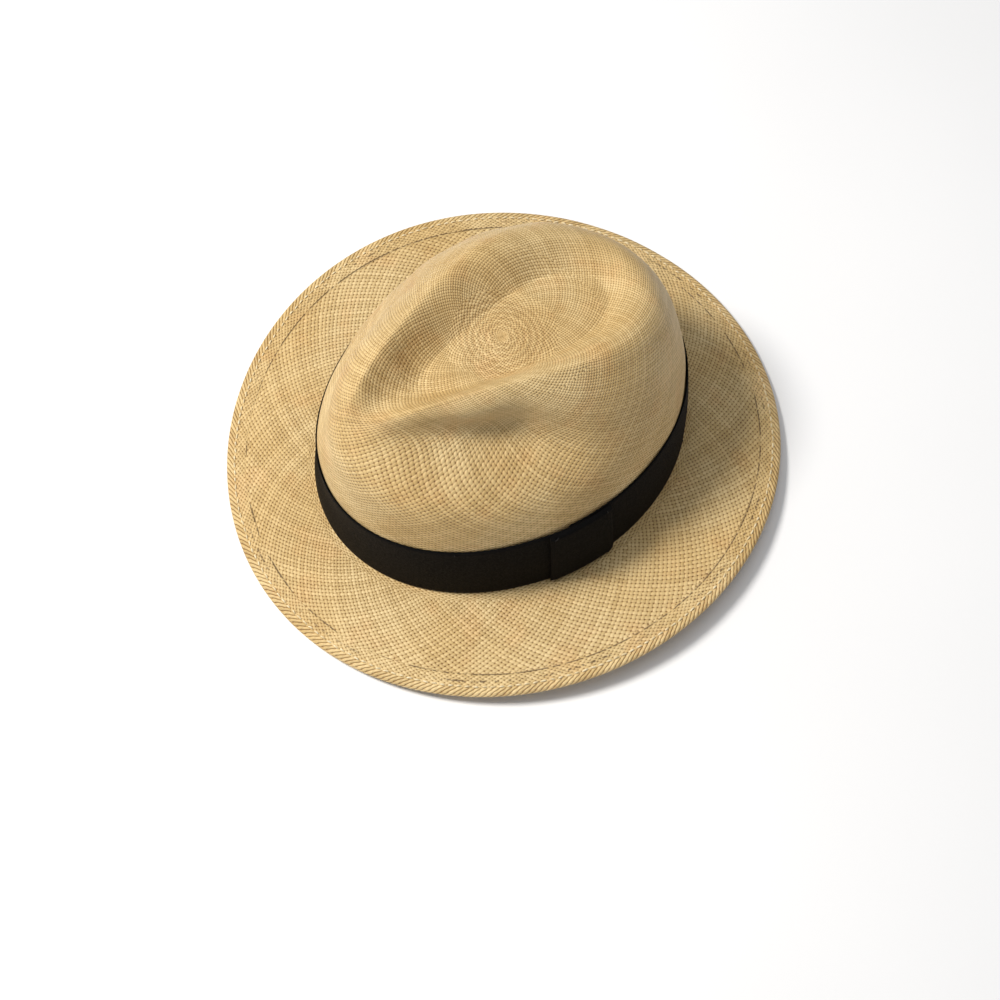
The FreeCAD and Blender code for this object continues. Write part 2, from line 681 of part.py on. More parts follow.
def join_bow():
    """The small ribbon bow sewn over the join of the sweatband at the back of the head."""
    body = new_body("join_bow")
    sketch = new_sketch(body, "bow_outline", "XY_Plane")
    half_length, half_height = size("join_bow_length") / 2, size("join_bow_height") / 2
    half_waist = size("join_bow_waist") / 2
    corners = [FreeCAD.Vector(x * half_length, y, 0)
               for x, y in ((-1, -half_height), (0, -half_waist), (1, -half_height),
                            (1, half_height), (0, half_waist), (-1, half_height))]
    lines = outline(sketch, corners)
    sketch.addConstraint(Sketcher.Constraint("Symmetric", lines[0], 1, lines[3], 1, -1, 1))
    sketch.addConstraint(Sketcher.Constraint("Symmetric", lines[2], 1, lines[5], 1, -1, 1))
    sketch.addConstraint(Sketcher.Constraint("Symmetric", lines[1], 1, lines[4], 1, -1, 1))
    sketch.addConstraint(Sketcher.Constraint("Vertical", lines[2]))
    sketch.addConstraint(Sketcher.Constraint("PointOnObject", lines[1], 1, -2))
    dimension(sketch, "tall", "Dimensions.join_bow_height", "Distance", lines[2], 2 * half_height)
    dimension(sketch, "half_long", "Dimensions.join_bow_length / 2",
              "DistanceX", -1, 1, lines[2], 1, half_length)
    dimension(sketch, "half_waist", "Dimensions.join_bow_waist / 2",
              "DistanceY", lines[1], 1, -1, 1, half_waist)
    dimension(sketch, "half_tall", "Dimensions.join_bow_height / 2",
              "DistanceY", lines[2], 1, -1, 1, half_height)
    pad(body, sketch, "Dimensions.join_bow_thickness")
    body.Placement = inner_face(math.pi / 2, size("join_bow_rise"), 1.3)
    return body


def size_tag():
    """A blank woven size tag sewn to the sweatband at the wearer's left."""
    body = new_body("size_tag")
    sketch = new_sketch(body, "tag_outline", "XY_Plane")
    length, height = size("tag_length"), size("tag_height")
    corners = [FreeCAD.Vector(x * length / 2, y * height / 2, 0)
               for x, y in ((-1, -1), (1, -1), (1, 1), (-1, 1))]
    lines = outline(sketch, corners)
    for i, kind in enumerate(("Horizontal", "Vertical", "Horizontal", "Vertical")):
        sketch.addConstraint(Sketcher.Constraint(kind, lines[i]))
    sketch.addConstraint(Sketcher.Constraint("Symmetric", lines[0], 1, lines[2], 1, -1, 1))
    dimension(sketch, "long", "Dimensions.tag_length", "Distance", lines[0], length)
    dimension(sketch, "tall", "Dimensions.tag_height", "Distance", lines[1], height)
    plate = pad(body, sketch, "Dimensions.tag_thickness")
    doc.recompute()
    upright = [index for index, edge in enumerate(plate.Shape.Edges, start=1)
               if edge.BoundBox.ZLength > size("tag_thickness") * 0.9]
    corner = body.newObject("PartDesign::Fillet", "tag_corners")
    corner.Base = (plate, ["Edge%d" % index for index in upright])
    corner.setExpression("Radius", "Dimensions.tag_corner")
    body.Placement = inner_face(0.0, size("tag_rise"), 1.0)
    return body


def tag_stitches():
    """One stitch at each end of the size tag."""
    frame = inner_face(0.0, size("tag_rise"), 1.0)
    diameter = size("tack_diameter")
    row = []
    for side in (-1, 1):
        centre = FreeCAD.Vector(side * (size("tag_length") / 2 - 2.5), 0,
                                size("tag_thickness") + diameter / 2 + THREAD_CLEAR)
        direction = frame.Rotation.multVec(FreeCAD.Vector(0, 1, 0))
        row.append(stitch(frame.multVec(centre), direction, 4.0, diameter))
    return feature("tag_stitches", Part.makeCompound(row))


# ---------------------------------------------------------------- build, check and write

PIECES = [woven_body, hem_stitches, hat_band, flat_bow, bow_tacks, band_tacks, sweatband,
          sweatband_reed, reed_binding, sweatband_stitches, join_bow, join_stitches, size_tag,
          tag_stitches]


def write_parts(pieces):
    """Check every object and piece, then write each piece to its own file."""
    for item in doc.Objects:
        if any(word in ("Invalid", "Error") for word in item.State):
            raise RuntimeError("%s failed: %s" % (item.Name, item.State))
    os.makedirs("parts", exist_ok=True)
    for piece in pieces:
        shape = piece.Shape
        if shape.isNull() or not shape.isValid() or not shape.Solids:
            raise RuntimeError(piece.Label + " has no valid solid")
        if any(solid.Volume <= 0 for solid in shape.Solids):
            raise RuntimeError(piece.Label + " has a solid inside out")
        print("%-20s %4d solids %10.1f mm3" % (piece.Label, len(shape.Solids), shape.Volume))
        shape.exportStep("parts/%s.step" % piece.Label)


built = [make() for make in PIECES]
doc.recompute()
write_parts(built)
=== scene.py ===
import json
import math

import bpy
import numpy as np
from mathutils import Matrix

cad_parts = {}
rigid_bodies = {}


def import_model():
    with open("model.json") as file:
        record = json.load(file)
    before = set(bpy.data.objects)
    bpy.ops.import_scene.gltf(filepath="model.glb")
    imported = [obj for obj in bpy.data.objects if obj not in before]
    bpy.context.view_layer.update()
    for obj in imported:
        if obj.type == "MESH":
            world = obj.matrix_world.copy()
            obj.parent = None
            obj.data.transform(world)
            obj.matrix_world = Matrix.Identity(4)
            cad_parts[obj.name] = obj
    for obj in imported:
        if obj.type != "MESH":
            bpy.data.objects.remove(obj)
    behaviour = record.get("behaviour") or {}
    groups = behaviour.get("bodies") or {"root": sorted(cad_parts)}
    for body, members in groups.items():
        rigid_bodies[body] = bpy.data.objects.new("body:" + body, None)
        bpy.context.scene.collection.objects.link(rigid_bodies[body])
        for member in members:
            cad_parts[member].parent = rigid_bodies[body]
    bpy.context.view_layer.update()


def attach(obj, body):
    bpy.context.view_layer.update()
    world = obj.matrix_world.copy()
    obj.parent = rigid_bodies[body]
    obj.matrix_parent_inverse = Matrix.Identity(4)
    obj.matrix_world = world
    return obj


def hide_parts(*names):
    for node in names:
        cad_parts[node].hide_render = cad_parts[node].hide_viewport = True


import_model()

# Panama hat. Lengths are worked out in millimetres and written to the meshes in metres. The wearer
# looks along -Y and the bow is at +X, on the wearer's left. Angles run round the hat from +X.

MM = 0.001
FULL_TURN = 2 * math.pi
AROUND = 576                                # columns of the straw meshes
PROFILE_STEPS = 321                         # points that measure the crown's slope
HALVINGS = 24                               # steps that find a height on the wall
ARC_STEP = math.radians(0.25)

HALF_LENGTH, HALF_WIDTH = 102.0, 86.0       # the head oval, on the straw
HEAD_LINE, SIDE_RISE, PITCH = 8.7, 2.9, 1.6
CROWN_HEIGHT = 112.3
TOP_SHIFT, FRONT_NARROWING = 3.3, 0.012
TAPER = (0.349, 0.057, 0.118)               # at the side, the front and the back
SHOULDER = (4.43, 5.55, 2.79)
DOME = (4.24, 7.07, 4.53)

CREASE_FRONT, CREASE_BACK = -94.0, 91.0
CREASE_HALF_WIDTH, CREASE_FLARE, CREASE_TIP, CREASE_OFFSET = 36.5, 29.0, 0.25, 1.0
CREASE_LEAST_WIDTH = 5.0
CREASE_WALLS = (0.46, 0.62, 0.30)           # share of the hollow that slopes, left, right and back
CREASE_FOLD = 0.6                           # how straight the slopes are
CREASE_FLOOR, CREASE_MIDDLE = 102.5, -15.0
CREASE_SAG = (1.0, 2.5, 4.5)                # how far the floor falls at the side, front and back
CREASE_SAG_WIDTH, CREASE_SAG_LENGTH = 28.0, 55.0

# Each dent: side, depth, place, spread, height, reach above and below, climb to the front and
# squareness. The last one is where the ribbon draws the wall in, at the wearer's right.
DENTS = ((1, 27.0, 45.0, 41.0, 98.0, 18.0, 12.5, 7.5, 3.0),
         (-1, 14.0, 46.0, 32.0, 86.0, 34.0, 24.0, 0.0, 2.0),
         (-1, 6.0, 55.0, 45.0, 37.0, 17.0, 15.0, 0.0, 2.0))
DENT_FREE, DENT_FADE = 14.0, 24.0           # untouched round the middle, and how soon at full push

BRIM_WIDTH, BRIM_SIDE, BRIM_LEFT = 51.9, 4.9, 1.9
BRIM_DROOP = 0.35                           # share of the brim's fall that is straight
EDGE_HEIGHT, EDGE_RISE = 2.6, 11.3
BREAK_RADIUS = 2.0                          # where the crown turns into the brim
STRAW = 1.3

HEM_THICKNESS = 2.6
HEM_START, HEM_LAST = 11.6, -13.0           # its border on top, and below as the weave counts on
HEM_TOP_INSETS = (11.3, 11.0, 10.6, 9.8, 8.8, 7.8, 6.9, 6.5, 6.1, 5.4, 4.9, 4.5, 4.1, 3.4, 2.5,
                  1.7, 1.1)                 # rows on top, inward from the edge
HEM_BELOW_INSETS = (2.2, 3.4, 4.5, 5.6, 7.0, 8.6, 10.2, 11.3)
HEM_EDGE_STEP = 0.45                        # between the rows round the edge
HEM_PUFF, HEM_SEAM, HEM_SEAM_INSET = 0.30, 0.16, 4.5
HEM_FURROW, HEM_FURROW_INSET = 0.14, 6.5
LOWEST = 0.02                               # nothing of the hem reaches lower than this

STITCH_PITCH, STITCH_LENGTH, STITCH_RADIUS, STITCH_LIFT = 4.2, 2.6, 0.46, 0.66
SWEAT_STITCH_PITCH, SWEAT_STITCH_LENGTH, SWEAT_STITCH_RADIUS = 6.0, 2.6, 0.27
TACK_RADIUS, TACK_HALF_LENGTH, TACK_PLACES = 0.25, 0.8, (-150, -90, -45, 45, 90, 150)

RIBBON_WIDTH, RIBBON_LIFT, RIBBON_THICKNESS, RIBBON_GAP, RIBBON_LAP = 39.6, 1.4, 0.7, 0.3, 12.0
RIBBON_SELVEDGE, RIBBON_SELVEDGE_WIDTH = 0.10, 0.9
LAP_ANGLE, LAP_LIFT = 0.25, 0.8
BOW_ANGLE, BOW_LENGTH, BOW_OVERHANG, BOW_THICKNESS = -7.0, 35.0, 0.9, 1.6
BOW_ROLL = 1.1                              # how near its edges the bow starts to roll over
BOW_FLOOR = 2 * RIBBON_GAP + 2 * RIBBON_THICKNESS + 0.1      # out from the straw, above the lap
SWEATBAND_HEIGHT, SWEATBAND_THICKNESS, SWEATBAND_GAP, SWEATBAND_FOOT = 36.0, 1.0, 0.6, 3.4
SWEATBAND_SEAM = SWEATBAND_FOOT + 2
SWEATBAND_RADIUS, SWEATBAND_TURN = 88.0, 90.0   # millimetres to a radian, for cloth and stitches


# ---------------------------------------------------------------- the shape as formulas

def smooth(value):
    value = np.clip(value, 0.0, 1.0)
    return value * value * (3 - 2 * value)


def by_direction(angle, values):
    """Blend values given for the side, front and back."""
    side, front, back = values
    return side * np.cos(angle) ** 2 + np.where(np.sin(angle) < 0, front, back) * np.sin(angle) ** 2


def head_line_z(angle):
    return HEAD_LINE + SIDE_RISE * np.cos(angle) ** 2 - PITCH * np.sin(angle)


def outward(angle):
    x, y = HALF_LENGTH * np.cos(angle), HALF_WIDTH * np.sin(angle)
    length = np.hypot(x, y)
    return x / length, y / length


def block(angle, turn):
    """The open crown before it is creased; turn runs from 0 on top to 90 degrees."""
    spread = np.sin(turn) ** (2 / by_direction(angle, SHOULDER))
    rise = np.maximum(np.cos(turn), 0.0) ** (2 / by_direction(angle, DOME))
    spread = spread * (1 - by_direction(angle, TAPER) * rise ** 2)
    foot = head_line_z(angle)
    narrowing = 1 + FRONT_NARROWING * rise * np.sin(angle)
    return np.stack([HALF_WIDTH * spread * np.cos(angle) * narrowing,
                     HALF_LENGTH * spread * np.sin(angle) + TOP_SHIFT * rise,
                     foot + (HEAD_LINE + CROWN_HEIGHT - foot) * rise], -1)


def pinch(angle, point):
    """Press in the dents at the front of the crown."""
    x, y, z = point[..., 0], point[..., 1], point[..., 2]
    for side, depth, place, spread, height, above, below, climb, square in DENTS:
        centre = math.radians(-90 + side * place)
        away = (np.mod(angle - centre + math.pi, FULL_TURN) - math.pi) / math.radians(spread)
        up = z - height + side * climb * away
        fade = np.abs(away) ** square + (up / np.where(up > 0, above, below)) ** 2
        push = depth * np.exp(-fade)
        radius = np.maximum(np.hypot(x, y), 1.0)
        keep = 1 - push / radius * smooth((radius - DENT_FREE) / DENT_FADE)
        x, y = x * keep, y * keep
    return np.stack([x, y, z], -1)


def crease(point):
    """Lower the top of the crown into the teardrop hollow with its raised middle."""
    x, y, z = point[..., 0], point[..., 1], point[..., 2]
    along = (y - (CREASE_FRONT + CREASE_BACK) / 2) / ((CREASE_BACK - CREASE_FRONT) / 2)
    half_width = np.maximum(CREASE_HALF_WIDTH + CREASE_FLARE * along, CREASE_LEAST_WIDTH)
    half_width = half_width * (1 + CREASE_TIP * np.minimum(along, 0.0) ** 2)
    bend = CREASE_OFFSET * np.cos(np.minimum(np.abs(along), 1.0) * math.pi / 2)
    across = (x + bend) / half_width
    out = np.hypot(across, along)
    left, right, back = CREASE_WALLS
    sideways = (across / np.maximum(out, 0.001)) ** 2
    end_wall = np.where(along > 0, back, (left + right) / 2)
    slope = np.where(across > 0, left, right) * sideways + end_wall * (1 - sideways)
    inside = np.clip((1 - out) / slope, 0, 1)
    share = CREASE_FOLD * inside + (1 - CREASE_FOLD) * smooth(inside)
    sag_side, sag_front, sag_back = CREASE_SAG
    lengthwise = (y - CREASE_MIDDLE) / CREASE_SAG_LENGTH
    floor = CREASE_FLOOR - sag_side * (x / CREASE_SAG_WIDTH) ** 2
    floor = floor - np.where(lengthwise < 0, sag_front, sag_back) * lengthwise ** 2
    return np.stack([x, y, z * (1 - share) + np.minimum(floor, z) * share], -1)


def walked_along(points):
    """Length from the first point to each point of a line."""
    return np.concatenate([[0], np.cumsum(np.linalg.norm(np.diff(points, axis=0), axis=1))])


def crown(angle, fractions):
    """Rows of points on the outside of the crown, at these fractions of the way down."""
    turns = math.pi / 2 * smooth(np.linspace(0, 1, PROFILE_STEPS))
    rows = np.empty((len(fractions), len(angle), 3))
    length = np.empty(len(angle))
    for column, direction in enumerate(angle):
        line = block(np.full(len(turns), direction), turns)
        walked = walked_along(line)
        length[column] = walked[-1]
        for axis in range(3):
            rows[:, column, axis] = np.interp(fractions * walked[-1], walked, line[:, axis])
    return crease(pinch(angle[None, :], rows)), length


def brim_slant(angle):
    """Width of the brim along its slope."""
    return BRIM_WIDTH + BRIM_LEFT * np.cos(angle) + BRIM_SIDE * np.cos(2 * angle)


def brim(angle, share):
    """A point of the top of the brim; share runs from 0 at the head line to 1 at the edge."""
    nx, ny = outward(angle)
    foot = head_line_z(angle)
    edge = EDGE_HEIGHT + EDGE_RISE * np.cos(angle) ** 2
    reach = np.sqrt(brim_slant(angle) ** 2 - (edge - foot) ** 2) * share
    fall = BRIM_DROOP * share + (1 - BRIM_DROOP) * share ** 2
    return np.stack([HALF_WIDTH * np.cos(angle) + nx * reach,
                     HALF_LENGTH * np.sin(angle) + ny * reach, foot + (edge - foot) * fall], -1)


def inset_brim(angle, inset):
    """A point of the top of the brim, this far in from its edge."""
    return brim(angle, 1 - inset / brim_slant(angle))


def wall(angle, height, offset):
    """A point beside the crown's wall, this far above the head line and out from the straw."""
    angle, height, offset = np.broadcast_arrays(angle, height, offset)
    low, high = np.full(angle.shape, 0.5), np.full(angle.shape, 1.0)
    foot = head_line_z(angle)
    for _ in range(HALVINGS):
        middle = (low + high) / 2
        above = block(angle, math.pi / 2 * smooth(middle))[..., 2] - foot > height
        low, high = np.where(above, middle, low), np.where(above, high, middle)
    point = pinch(angle, block(angle, math.pi / 2 * smooth(middle)))
    nx, ny = outward(angle)
    return np.stack([point[..., 0] + nx * offset, point[..., 1] + ny * offset, foot + height], -1)


def sweat_point(angle, rise, depth):
    """A point beside the inside of the crown's wall, this far above the sweatband's flat foot."""
    foot = HEAD_LINE + SIDE_RISE / 2 - PITCH * np.sin(angle)
    return wall(angle, foot + rise - head_line_z(angle), -STRAW - SWEATBAND_GAP - depth)


def arc_angle(start, length):
    """The angle this length along the head oval from start."""
    angle, walked, step = start, 0.0, math.copysign(ARC_STEP, length)
    while walked < abs(length):
        speed = math.hypot(HALF_WIDTH * math.sin(angle), HALF_LENGTH * math.cos(angle))
        walked += speed * abs(step)
        angle += step
    return angle


def turns_of(count):
    """Angles that divide a full turn."""
    return np.linspace(0, FULL_TURN, count + 1)[:count]


def ripple(points, size, seed, strength, waves=14):
    """Smooth unevenness: a number for each point, from waves about this long."""
    random = np.random.default_rng(seed)
    total = np.zeros(points.shape[:-1])
    for _ in range(waves):
        way = random.normal(size=3)
        way *= FULL_TURN / (size * random.uniform(0.7, 1.6) * np.linalg.norm(way))
        total += np.sin(points @ way + random.uniform(0, FULL_TURN))
    return total * strength / math.sqrt(waves / 2)


# ---------------------------------------------------------------- meshes

def add_mesh(name, verts, faces, material, uv=None, normals=None):
    """Make a smooth piece that rides on the hat's one body."""
    mesh = bpy.data.meshes.new(name)
    mesh.from_pydata((np.asarray(verts) * MM).tolist(), [],
                     faces.tolist() if hasattr(faces, "tolist") else faces)
    if uv is not None:
        layer = mesh.uv_layers.new(name="weave")
        layer.data.foreach_set("uv", np.asarray(uv, np.float32).ravel())
    mesh.polygons.foreach_set("use_smooth", [True] * len(mesh.polygons))
    mesh.materials.append(material)
    if normals is not None:
        mesh.normals_split_custom_set_from_vertices(np.asarray(normals).tolist())
    mesh.update()
    piece = bpy.data.objects.new(name, mesh)
    bpy.context.scene.collection.objects.link(piece)
    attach(piece, "root")
    return piece


def stand_in(piece, node):
    """Let a piece take the place of its CAD node, which is hidden."""
    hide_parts(node)
    return piece


def grid_cells(rows, columns, closed):
    """Row and column of each quad of a grid of points."""
    return np.meshgrid(np.arange(rows - 1), np.arange(columns if closed else columns - 1),
                       indexing="ij")


def grid_faces(rows, columns, closed=True, flip=False):
    """Quads of a grid of points, row by row."""
    i, j = grid_cells(rows, columns, closed)
    following = (j + 1) % columns
    quads = np.stack([i * columns + j, (i + 1) * columns + j, (i + 1) * columns + following,
                      i * columns + following], -1).reshape(-1, 4)
    return quads[:, ::-1] if flip else quads


def corner_uv(u, v, rows, columns, closed=True, flip=False):
    """UVs of each quad's corners, from u and v given on a grid with one column more if closed."""
    i, j = grid_cells(rows, columns, closed)
    corners = [(i, j), (i + 1, j), (i + 1, j + 1), (i, j + 1)]
    if flip:
        corners = corners[::-1]
    return np.stack([np.stack([u[a, b], v[a, b]], -1) for a, b in corners], 2).reshape(-1, 2)


def fan_faces(centre, flip=False):
    """Triangles from the point numbered centre to the first row of a closed grid."""
    j = np.arange(AROUND)
    faces = np.stack([np.full(AROUND, centre), j, (j + 1) % AROUND], -1)
    return faces[:, ::-1] if flip else faces


def grid_normals(points):
    """Unit normals of a closed grid, by differences; the same from both sides of any cut row."""
    across = np.roll(points, -1, axis=1) - np.roll(points, 1, axis=1)
    down = np.gradient(points, axis=0)
    normal = np.cross(down, across)
    return normal / np.maximum(np.linalg.norm(normal, axis=-1, keepdims=True), 1e-9)


def strip(name, stacks, material, closed):
    """A closed band of cloth or leather: a ring of profile rows, the last joined to the first."""
    rows, columns = stacks.shape[:2]
    middle = stacks.mean(axis=0)
    run = walked_along(middle)
    if closed:
        run = np.append(run, run[-1] + np.linalg.norm(middle[0] - middle[-1]))
    section = walked_along(np.concatenate([stacks, stacks[:1]])[:, 0])
    u = np.broadcast_to(run, (rows + 1, len(run)))
    v = np.broadcast_to(section[:, None], u.shape)
    uv = corner_uv(u, v, rows + 1, columns, closed)
    faces = (grid_faces(rows + 1, columns, closed) % (rows * columns)).tolist()
    if not closed:
        caps = end_caps(rows, columns)
        faces += caps
        uv = np.concatenate([uv, np.zeros((4 * len(caps), 2))])
    return add_mesh(name, stacks.reshape(-1, 3), faces, material, uv)


def end_caps(rows, columns):
    """Quads that close the two cut ends of an open strip."""
    caps = []
    for column in (0, columns - 1):
        ring = [row * columns + column for row in range(rows)]
        for i in range(rows // 2 - 1):
            cap = [ring[i], ring[i + 1], ring[rows - 2 - i], ring[rows - 1 - i]]
            caps.append(cap[::-1] if column else cap)
    return caps


def threads(name, paths, radius, material, sides=8):
    """Short threads along paths, one mesh, each tapering where it dives into its holes."""
    anywhere = [0.31, 0.17, 0.93]               # a direction that no thread runs in
    verts, faces = [], []
    for path in paths:
        path = np.asarray(path, float)
        count = len(path)
        tangent = np.gradient(path, axis=0)
        tangent /= np.linalg.norm(tangent, axis=1, keepdims=True)
        aside = np.cross(tangent, anywhere)
        aside /= np.linalg.norm(aside, axis=1, keepdims=True)
        other = np.cross(tangent, aside)
        taper = np.sin(np.linspace(0.16, 0.84, count) * math.pi) ** 0.5
        start = len(verts)
        for point, a, b, thick in zip(path, aside, other, taper):
            for k in range(sides):
                turn = FULL_TURN * k / sides
                verts.append(point + radius * thick * (a * math.cos(turn) + b * math.sin(turn)))
        for i in range(count - 1):
            near, far = start + i * sides, start + (i + 1) * sides
            for k in range(sides):
                after = (k + 1) % sides
                faces.append([near + k, near + after, far + after, far + k])
        faces.append([start + k for k in reversed(range(sides))])
        faces.append([start + (count - 1) * sides + k for k in range(sides)])
    return add_mesh(name, verts, faces, material)


# ---------------------------------------------------------------- materials

class Nodes:
    """Builds a material's nodes from short expressions."""

    def __init__(self, name, roughness=0.6):
        self.material = bpy.data.materials.new(name)
        self.material.use_nodes = True
        self.tree = self.material.node_tree
        self.shader = self.tree.nodes["Principled BSDF"]
        self.shader.inputs["Roughness"].default_value = roughness

    def new(self, kind, **settings):
        node = self.tree.nodes.new(kind)
        for name, value in settings.items():
            setattr(node, name, value)
        return node

    def link(self, value, socket):
        if hasattr(value, "links"):
            self.tree.links.new(value, socket)
        else:
            socket.default_value = value

    def math(self, operation, *values, clamp=False):
        node = self.new("ShaderNodeMath", operation=operation, use_clamp=clamp)
        for value, socket in zip(values, node.inputs):
            self.link(value, socket)
        return node.outputs[0]

    def add(self, a, b):
        return self.math("ADD", a, b)

    def sub(self, a, b):
        return self.math("SUBTRACT", a, b)

    def mul(self, a, b):
        return self.math("MULTIPLY", a, b)

    def step(self, value, low, high, to_low=0.0, to_high=1.0):
        """A smooth ramp of a value between two limits."""
        node = self.new("ShaderNodeMapRange", interpolation_type="SMOOTHSTEP")
        for socket, item in zip(node.inputs, (value, low, high, to_low, to_high)):
            self.link(item, socket)
        return node.outputs[0]

    def mix(self, share, a, b, blend="MIX"):
        node = self.new("ShaderNodeMix", data_type="RGBA", blend_type=blend)
        for socket, value in ((node.inputs[0], share), (node.inputs[6], a), (node.inputs[7], b)):
            self.link(value, socket)
        return node.outputs[2]

    def tint(self, colour, by):
        return self.mix(1.0, colour, by, "MULTIPLY")

    def mix_value(self, share, a, b):
        node = self.new("ShaderNodeMix", data_type="FLOAT")
        for socket, value in ((node.inputs[0], share), (node.inputs[2], a), (node.inputs[3], b)):
            self.link(value, socket)
        return node.outputs[0]

    def position(self):
        return self.new("ShaderNodeTexCoord").outputs["Object"]

    def split(self, vector):
        parts = self.new("ShaderNodeSeparateXYZ")
        self.link(vector, parts.inputs[0])
        return parts.outputs

    def uv(self):
        parts = self.split(self.new("ShaderNodeUVMap", uv_map="weave").outputs[0])
        return parts[0], parts[1]

    def vector(self, x, y, z=0.0):
        node = self.new("ShaderNodeCombineXYZ")
        for value, socket in zip((x, y, z), node.inputs):
            self.link(value, socket)
        return node.outputs[0]

    def shift(self, vector, amount):
        """The same place moved away, where a noise has other values."""
        node = self.new("ShaderNodeVectorMath", operation="ADD")
        self.link(vector, node.inputs[0])
        node.inputs[1].default_value = (amount, amount * 0.7, amount * 1.3)
        return node.outputs[0]

    def noise(self, vector, scale, detail=2.0, rough=0.5):
        """Noise with scale in waves a metre."""
        node = self.new("ShaderNodeTexNoise")
        for name, value in (("Vector", vector), ("Scale", scale), ("Detail", detail),
                            ("Roughness", rough)):
            self.link(value, node.inputs[name])
        return node.outputs[0]

    def random(self, value):
        node = self.new("ShaderNodeTexWhiteNoise", noise_dimensions="1D")
        self.link(value, node.inputs["W"])
        return node.outputs[0]

    def sway(self, vector, scale, detail, amount):
        """Noise round zero."""
        return self.mul(self.sub(self.noise(vector, scale, detail), 0.5), amount)

    def cell(self, value):
        """Place in the cell that a strand number falls in, from -0.5 to 0.5."""
        return self.sub(self.math("FRACT", value), 0.5)

    def line(self, value, middle, core, edge):
        """1 at middle, and 0 further than edge from it."""
        away = self.math("ABSOLUTE", self.sub(value, middle))
        return self.step(away, core, edge, 1.0, 0.0)

    def ribs(self, value, per_mm):
        return self.math("ABSOLUTE", self.math("SINE", self.mul(value, math.pi * per_mm)))

    def wave(self, value):
        """A cosine hump over one cell: 1 in its middle, 0 at its ends."""
        return self.math("COSINE", self.mul(value, math.pi))

    def finish(self, colour=None, roughness=None, height=None, depth=0.0003, strength=1.0, **fixed):
        if colour is not None:
            self.link(colour, self.shader.inputs["Base Color"])
        if roughness is not None:
            self.link(roughness, self.shader.inputs["Roughness"])
        if height is not None:
            bump = self.new("ShaderNodeBump")
            bump.inputs["Strength"].default_value = strength
            bump.inputs["Distance"].default_value = depth
            self.link(height, bump.inputs["Height"])
            self.link(bump.outputs[0], self.shader.inputs["Normal"])
        for name, value in fixed.items():
            self.shader.inputs[name.replace("_", " ")].default_value = value
        return self.material


def rgb(red, green, blue):
    """A colour given as 0-255 on screen, as the light it stands for."""
    def light(value):
        value /= 255
        return value / 12.92 if value <= 0.04045 else ((value + 0.055) / 1.055) ** 2.4
    return (light(red), light(green), light(blue), 1.0)


STRAW_DARK, STRAW_LIGHT = rgb(206, 177, 122), rgb(235, 208, 154)
STRAW_DULL, STRAW_ROSY, STRAW_PAINTED_VALLEY_SHADE = rgb(243, 236, 222), rgb(255, 228, 210), rgb(172, 142, 102)
STRAW_PAINTED_GAP_SHADE, HEM_PAINTED_SHADE = rgb(38, 24, 10), rgb(74, 50, 26)
RING_PAINTED_GROOVE_SHADE, RING_CORE = rgb(190, 164, 130), rgb(232, 220, 204)
RING_PITCH = 3.1                            # between the rings at the middle of the crown
RIBBON_DARK, RIBBON_LIGHT, RIBBON_PAINTED_SHEEN_BROWN = (4, 4, 5), (10, 9, 10), (15, 12, 11)
RIBBON_PAINTED_GROOVE_SHADE, RIBBON_SHEEN = rgb(1, 1, 1), (0.75, 0.6, 0.48, 1.0)
LEATHER_DARK, LEATHER_LIGHT, LEATHER_PAINTED_CREVICE_SHADE = rgb(84, 48, 27), rgb(122, 76, 44), rgb(52, 29, 17)
REED_DARK, REED_LIGHT = rgb(206, 190, 150), rgb(232, 222, 190)


def rosette_rings(n, place, colour, base, height):
    """The start of the weave, in rings round the middle of the crown."""
    x, y, _ = n.split(place)
    y = n.sub(y, TOP_SHIFT * MM)
    radius = n.mul(n.math("SQRT", n.add(n.mul(x, x), n.mul(y, y))), 1 / MM)
    radius = n.add(radius, n.sway(place, 90, 2.0, 1.2))
    ring = n.add(n.mul(n.math("COSINE", n.mul(radius, FULL_TURN / RING_PITCH)), 0.5), 0.5)
    near = n.mul(n.step(radius, 1.0, 5.0), n.step(radius, 18.0, 27.0, 1.0, 0.0))
    core = n.step(radius, 1.5, 4.5, 1.0, 0.0)
    # painted shade: the colour is tinted darker in the grooves between the rings
    ring_groove_shade = n.mul(n.sub(1.0, ring), near)
    colour = n.mix(n.mul(ring_groove_shade, 0.35), colour, n.tint(colour, RING_PAINTED_GROOVE_SHADE))
    colour = n.mix(n.mul(core, 0.5), colour, n.tint(base, RING_CORE))
    height = n.add(n.mul(height, n.sub(1.0, n.mul(core, 0.6))), n.mul(n.mul(ring, near), 0.4))
    return colour, height


def hem_border(n, place, across, colour, height):
    """The broken dark line where the folded edge ends on the brim, and slits along its middle, both
    painted shade.
    """
    border = n.mul(n.line(across, 0.7, 0.0, 0.6),
                   n.step(n.noise(place, 320, 1.0), 0.36, 0.5, 0.1, 0.85))
    slits = n.mul(n.line(across, 4.3, 0.1, 0.8),
                  n.step(n.noise(place, 560, 1.0), 0.46, 0.6, 0.0, 0.8))
    slits = n.mul(slits, n.step(n.noise(n.shift(place, 0.5), 24, 2.0), 0.42, 0.6, 0.15, 1.0))
    dark = n.math("MAXIMUM", border, slits)
    # painted shade: the line and the slits are painted dark brown, and the surface is lowered there
    # too
    return n.mix(dark, colour, HEM_PAINTED_SHADE), n.add(height, n.mul(dark, -0.6))


def strand(n, cell, crossing, over, width, patch):
    """One family of strands: its rounded section, and its height as it passes over and under."""
    scaled = n.math("DIVIDE", cell, width)
    inside = n.math("MAXIMUM", n.sub(1.0, n.mul(scaled, scaled)), 0.0)
    section = n.math("POWER", inside, 0.5)
    lift = n.add(n.mul(n.mul(over, n.wave(crossing)), 0.5), n.add(0.5, patch))
    return section, n.mul(section, n.add(0.25, n.mul(lift, 0.75)))


